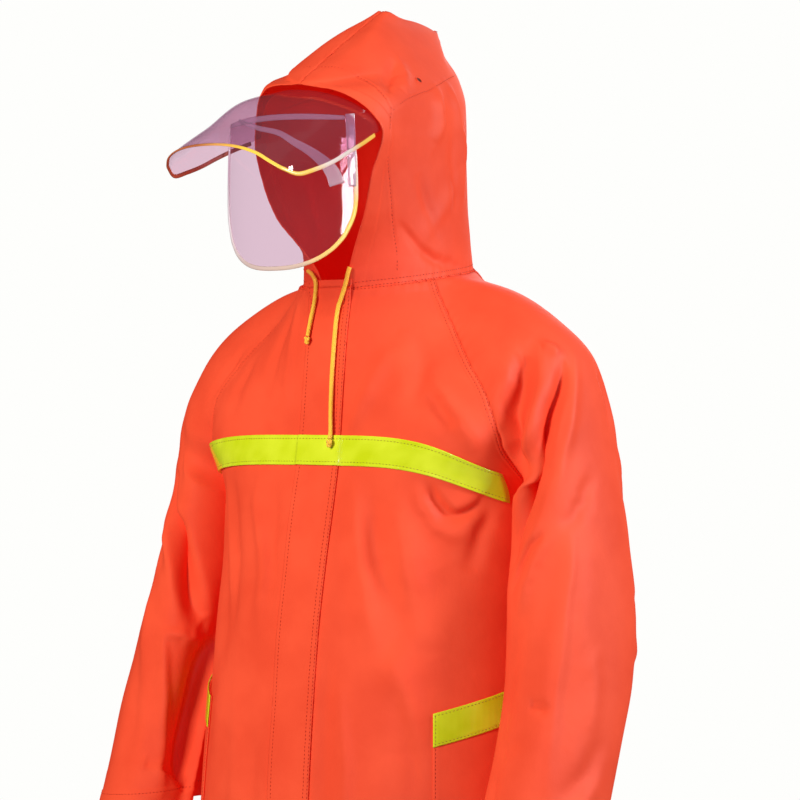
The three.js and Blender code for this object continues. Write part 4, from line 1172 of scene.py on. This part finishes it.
def eyelet(side, hood_piece):
    """A vent hole in the hood's crown, pressed through the cloth: its rim, and a dark disc of painted shade
    for the hole. It is placed on the hood's outer face, from a point a little outside it."""
    sign = SIDES[side]
    outside = [1.06 * sign * EYELET["x"], EYELET["y"], EYELET["z"] - sign * HOOD_LEAN * EYELET["x"]]
    tree = BVHTree.FromObject(hood_piece, bpy.context.evaluated_depsgraph_get())
    spot, normal, _, _ = tree.find_nearest(Vector(outside) * MM)
    out = np.array(normal) * (1 if normal.x * sign > 0 else -1)
    middle = np.array(spot) / MM
    across = unit(np.cross(out, [0, 0, 1.0]))
    rise = np.cross(across, out)
    columns = 41
    turn = np.linspace(0, 2 * math.pi, columns)[:, None]
    round_it = np.cos(turn) * across + np.sin(turn) * rise
    radii = np.array([0, 0.6, 1.0, 1.06, 1.2, 1.35, 1.5]) * EYELET["diameter"] / 2
    heights = [0.9, 0.9, 1.0, 1.4, 1.5, 1.1, -0.4]
    rings = [middle + round_it * max(r, 0.02) + out * h for r, h in zip(radii, heights)]
    for name, some, finish in (("hole", rings[:3], HOLE_FINISH), ("rim", rings[2:], CLOTH_FINISH)):
        faces = grid_faces(len(some), columns)
        piece = mesh_piece(f"vent_{name}_{side}", np.concatenate(some), faces, finish)
        merge_points(piece)
        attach(piece, "root")


cloth_lines = []
for side in SIDES:
    for make in (front_panel, sleeve, hood):
        cloth_lines += make(side)
cloth_lines += back_panel()


HALVINGS = 18


def front_at(x, z):
    """Points of the front at distances from the middle and heights, by halving."""
    x, z = np.broadcast_arrays(np.asarray(x, float), np.asarray(z, float))
    low_u, high_u = np.zeros_like(x), np.full_like(x, 0.9993)
    for _ in range(HALVINGS):
        u = (low_u + high_u) / 2
        short = front_across(u, z)[..., 0] < np.abs(x)
        low_u, high_u = np.where(short, u, low_u), np.where(short, high_u, u)
    return vec(x, front_across(low_u, z)[..., 1], z)


def front_across(u, z):
    u, z = np.broadcast_arrays(np.asarray(u, float), np.asarray(z, float))
    low, high = np.zeros_like(u), np.full_like(u, 2.0)
    for _ in range(HALVINGS):
        at = (low + high) / 2
        above = body_points(front_section, u, at)[..., 2] > z
        low, high = np.where(above, at, low), np.where(above, high, at)
    return body_points(front_section, u, low)


def free_edge_lift(x, z):
    """The placket's right edge isn't sewn down: it stands off the front a little, and unevenly."""
    return smooth((-x - 4) / 26) * (1.8 + 0.9 * np.sin(z / 61) + 0.6 * np.sin(z / 23 + 1))


def placket():
    across = shares(PLACKET_WIDTH, 2.5, 3, 9)
    along = shares(760, 4.6, 10, 8)
    sheet = panel_grid(
        lambda u, v: front_at((u - 0.5) * PLACKET_WIDTH, mix(HEM_Z + 3, PLACKET_TOP_Z, v)), across, along
    )
    x, z = sheet.points[..., 0], sheet.points[..., 2]
    relief = cloth_relief(sheet.points, FRONT_FOLDS) + LAY_GAP + CLOTH + OVER_HOOD * smooth((z + 32) / 16)
    relief += free_edge_lift(x, z)
    relief += (felled(sheet.from_right, 8) - 1.0) * 0.6 + puckers(sheet.from_right, sheet.from_low, 0.25, 14)
    relief += seam_dip(sheet.from_left, 0.8, 1.0) - 0.45 * np.exp(-(((sheet.from_left - 5.5) / 0.9) ** 2))
    sheet = sheet.moved(relief)
    cloth_piece("placket_shell", "placket", sheet, CLOTH_FINISH, CLOTH)
    return [sheet.line("from_right", 1.5), sheet.line("from_right", 7.0), sheet.line("from_left", 5.5)]


def chest_tape():
    across = shares(2 * TAPE_REACH, 2.6, 0, 0)
    along = shares(TAPE_WIDTH, 2.4, 2, 2)

    def points_of(u, v):
        x = mix(-TAPE_REACH, TAPE_REACH, u)
        drop = np.where(x > 0, TAPE_DROP["left"], TAPE_DROP["right"]) * (x / TAPE_REACH) ** 4
        return front_at(x, TAPE_TOP_Z - drop - TAPE_WIDTH * (1 - v))

    sheet = panel_grid(points_of, across, along)
    x, z = sheet.points[..., 0], sheet.points[..., 2]
    relief = cloth_relief(sheet.points, FRONT_FOLDS) + LAY_GAP + TAPE
    relief += (CLOTH + LAY_GAP) * (1 - smooth((np.abs(x) - PLACKET_WIDTH / 2) / 3))
    relief += free_edge_lift(x, z) * (x > -PLACKET_WIDTH / 2 - 1)
    relief += 2.7 * (np.abs(x) / TAPE_REACH) ** 6
    for edge in (sheet.from_low, sheet.from_high):
        relief -= 0.45 * np.exp(-(((edge - TAPE_STITCHES) / 0.9) ** 2))
        relief += puckers(edge - 4, sheet.from_left, 0.18, 6)
    sheet = sheet.moved(relief)
    cloth_piece("chest_tape_shell", "chest_tape", sheet, TAPE_FINISH, TAPE)
    return [sheet.line("from_low", TAPE_STITCHES), sheet.line("from_high", TAPE_STITCHES)]


def patch_points(u, v, top_gap, bottom):
    """Points of a patch on the front, whose top edge rises to the back. With no bottom it is as high as
    the tape."""
    share = mix(POCKET["front"], POCKET["back"], u)
    top = POCKET["top_z"] + POCKET["rise"] * (share - POCKET["front"]) - top_gap
    low = top - POCKET["tape"] if bottom is None else bottom
    return front_across(share, mix(low, top, v))


def patch(side, name, height, lift, thickness, finish, top_gap=0, bottom=None):
    """A patch sewn on a front, by the left one's sizes. Returns its sheet."""
    across, along = shares(125, 2.6, 6, 6), shares(height, 2.8, 6, 6)
    sheet = panel_grid(lambda u, v: patch_points(u, v, top_gap, bottom), across, along)
    if side == "right":
        sheet = sheet.flipped()
    relief = cloth_relief(sheet.points, FRONT_FOLDS) + lift + thickness
    for edge in (sheet.from_left, sheet.from_right, sheet.from_low):
        relief += -0.4 * np.exp(-(((edge - PATCH_STITCHES) / 0.9) ** 2)) + seam_dip(edge, 0.7, 1.0)
    sheet = sheet.moved(relief)
    cloth_piece(f"{name}_{side}_shell", f"{name}_{side}", sheet, finish, thickness)
    return sheet


cloth_lines += placket()
tape_lines = chest_tape()
for side in SIDES:
    bag = patch(side, "pocket", 200, LAY_GAP, CLOTH, CLOTH_FINISH, 1, POCKET["bottom_z"])
    band = patch(side, "pocket_tape", POCKET["tape"], LAY_GAP * 2 + CLOTH, TAPE, TAPE_FINISH)
    cloth_lines += [bag.line(edge, PATCH_STITCHES) for edge in ("from_left", "from_right", "from_low")]
    edges = ("from_left", "from_right", "from_low", "from_high")
    tape_lines += [band.line(edge, PATCH_STITCHES) for edge in edges]
stitch_mesh("stitches_cloth", cloth_lines, CLOTH_THREAD)
stitch_mesh("stitches_tape", tape_lines, TAPE_THREAD)


# Visor
def brim():
    sheet = panel_grid(brim_points, shares(330, 3.5), shares(200, 3.5))
    cloth_piece("brim_sheet", "brim", sheet, CLEAR_FINISH, CLEAR)


def shield():
    sheet = panel_grid(shield_points, shares(200, 3.5), shares(180, 3.5))
    u, v = np.meshgrid(np.linspace(0.03, 0.97, 50), np.linspace(0.957, 0.995, 4))
    hem = Sheet(shield_points(u, v))
    hem = hem.moved(np.full(u.shape, SEAM_GAP + CLEAR))
    hem_piece = wall_piece("shield_hem_band", "shield_hem", hem, CLEAR_BAND_FINISH, CLEAR)
    bands = [hem_piece, *weld_bands()]
    cloth_piece("shield_sheet", "shield", sheet, CLEAR_FINISH, CLEAR)


# Milky weld bands on the shield's outer face: its near side, and a curve across it, by distance from the
# middle, height and half width
WELD_THICKNESS = 0.6
SIDE_BAND = [(88.5, 178, 4.5), (89.5, 150, 4.5), (91, 120, 4.8), (92, 96, 5)]
CURVED_BAND = [
    (-62, 178, 2), (-40, 171, 2.4), (-23, 166, 2.8), (7, 159, 3.2), (27, 148, 4), (46, 137, 5),
    (62, 124, 6.5), (71, 112, 7.5), (76, 98, 8),
]


def weld_bands():
    bands = []
    for name, rows in (("shield_side_band", SIDE_BAND), ("shield_curved_band", CURVED_BAND)):
        path = smooth_path([(x, half, z) for x, z, half in rows], 2.5)
        x, half, z = path.T
        dx, dz = np.gradient(x), np.gradient(z)
        run = np.hypot(dx, dz)
        across = np.linspace(-1, 1, 5)[None, :]
        x = x[:, None] - across * (dz / run * half)[:, None]
        z = z[:, None] + across * (dx / run * half)[:, None]
        x = np.clip(x, -SHIELD["half_width"] + 1, SHIELD["half_width"] - 1)
        y = SHIELD["front_y"] + SHIELD["wrap"] * (x / SHIELD["half_width"]) ** 2
        band = Sheet(vec(x, y, z))
        outward = np.sign(-band.normals[..., 1].sum())
        band = band.moved(np.full(x.shape, outward * (SEAM_GAP + CLEAR)))
        bands.append(wall_piece(name, "shield_hem", band, CLEAR_BAND_FINISH, WELD_THICKNESS))
    return bands


BINDING = {"height": 5.0, "thickness": 2.2}
# Colours along the bindings, by share of their length: the tape's own yellow, with painted highlights
# where it turns pale and painted shade where it turns brown-orange
BRIM_TINTS_AND_PAINTED_LIGHT = [
    (0, "#FFCB58"), (0.07, "#F8C55C"), (0.11, "#E9D6D0"), (0.2, "#EFDCD2"), (0.25, "#FFD060"),
    (0.42, "#FFC846"), (0.5, "#DE9A50"), (0.56, "#B9653A"), (0.8, "#B4583A"), (0.9, "#C88A72"),
    (1, "#D8B4A8"),
]
SHIELD_TINTS_AND_PAINTED_LIGHT = [
    (0, "#EADFE6"), (0.25, "#D9C9CC"), (0.4, "#C9AFA6"), (0.58, "#D3B6A4"), (0.64, "#F2C271"),
    (0.8, "#FFD25E"), (0.86, "#F3DFC6"), (1, "#F4EDF3"),
]


def paint_along(piece, path, tints_and_painted_light):
    """Stores the colour of the nearest place along the path at each point of a piece, as tint."""
    spots = np.array([vertex.co for vertex in piece.data.vertices]) / MM
    along = np.argmin(np.linalg.norm(spots[:, None] - path[None], axis=2), axis=1) / (len(path) - 1)
    colours = between(along, [share for share, _ in tints_and_painted_light], [linear(code) for _, code in tints_and_painted_light])
    layer = piece.data.color_attributes.new("tint", "FLOAT_COLOR", "POINT")
    layer.data.foreach_set("color", colours.ravel())


def binding(name, node, points_of, edge, tints_and_painted_light):
    """Edge tape folded over a sheet: a flat rounded section along the edge, which is given as shares
    across and along the sheet."""
    u, v = np.array([place[0] for place in edge]), np.array([place[1] for place in edge])
    on_edge = points_of(u, v)
    inside = points_of(mix(u, 0.5, 0.05), mix(v, 0.5, 0.08))
    outward = unit(on_edge - inside)
    path = smooth_path(on_edge + outward * 1.2, 2.2)
    run = np.linspace(0, 1, len(path))
    outward = unit(between(run, np.linspace(0, 1, len(u)), outward))
    section = ring_section(BINDING["height"] / 2, 14, BINDING["thickness"] / BINDING["height"])
    piece = tube_mesh(name, path, section[:, ::-1], BINDING_FINISH, up=outward)
    # The tint holds the tape's yellow, with painted highlights and painted shade along it.
    paint_along(piece, path, tints_and_painted_light)
    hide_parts(node)


brim()
shield()
rim = np.concatenate([[0.04, 0.08], np.linspace(0.15, 0.85, 11), [0.92, 0.96]])
brim_edge = [(0, v) for v in np.linspace(0.1, 0.93, 6)] + [(u, 1) for u in rim]
brim_edge += [(1, v) for v in np.linspace(0.93, 0.1, 6)]
binding("brim_binding_tape", "brim_binding", brim_points, brim_edge, BRIM_TINTS_AND_PAINTED_LIGHT)
shield_edge = [(0, v) for v in (0.84, 0.6, 0.3)] + [(u, 0) for u in np.linspace(0.01, 0.99, 21)]
shield_edge += [(1, v) for v in (0.3, 0.6, 0.84)]
binding("shield_binding_tape", "shield_binding", shield_points, shield_edge, SHIELD_TINTS_AND_PAINTED_LIGHT)


# Floor and light
def floor():
    bpy.ops.object.select_all(action="DESELECT")
    bpy.ops.mesh.primitive_circle_add(vertices=96, radius=6, fill_type="NGON", location=(0, 0, FLOOR_Z))
    ground = bpy.context.object
    ground.name = "floor"
    ground.data.materials.append(plain_finish("floor_matt_grey_paint", "#8A8987", 0.9))


def soft_box(name, turn, distance, height, size, power, unseen_by=()):
    """A light at a turn round the coat, in degrees from straight ahead of it towards its left side. It can
    be left out of what shines or of what is matt."""
    light = bpy.data.objects.new(name, bpy.data.lights.new(name, "AREA"))
    bpy.context.scene.collection.objects.link(light)
    light.data.shape = "RECTANGLE"
    light.data.size, light.data.size_y = size
    light.data.energy = power
    for rays in unseen_by:
        setattr(light, f"visible_{rays}", False)
    turn = math.radians(turn)
    place = (math.sin(turn) * distance, -math.cos(turn) * distance, height)
    point_at(light, place, (0, 0, -0.25))


def studio():
    """A white backdrop for the camera that lights the coat only a little, and five soft boxes."""
    world = bpy.data.worlds.new("studio")
    bpy.context.scene.world = world
    world.use_nodes = True
    seen = put(world, "LightPath").outputs["Is Camera Ray"]
    strength = put(world, "MapRange", {"To Min": 0.03, "To Max": 1.0}, {"Value": seen})
    background = world.node_tree.nodes["Background"]
    background.inputs["Color"].default_value = linear("#FEFEFC")
    world.node_tree.links.new(strength.outputs["Result"], background.inputs["Strength"])
    soft_box("side", 101, 3.0, 1.1, (0.8, 1.2), 104)
    soft_box("front", -4, 3.0, 0.8, (0.8, 1.4), 112, ["glossy"])
    soft_box("glare", 25, 3.0, 0.1, (0.5, 0.6), 20, ["diffuse"])
    soft_box("top", 30, 0.4, 2.6, (2.0, 2.0), 2)
    soft_box("rear", 200, 3.0, 1.2, (2.0, 1.6), 30)
    bpy.context.scene.view_settings.view_transform = "Standard"


floor()
studio()
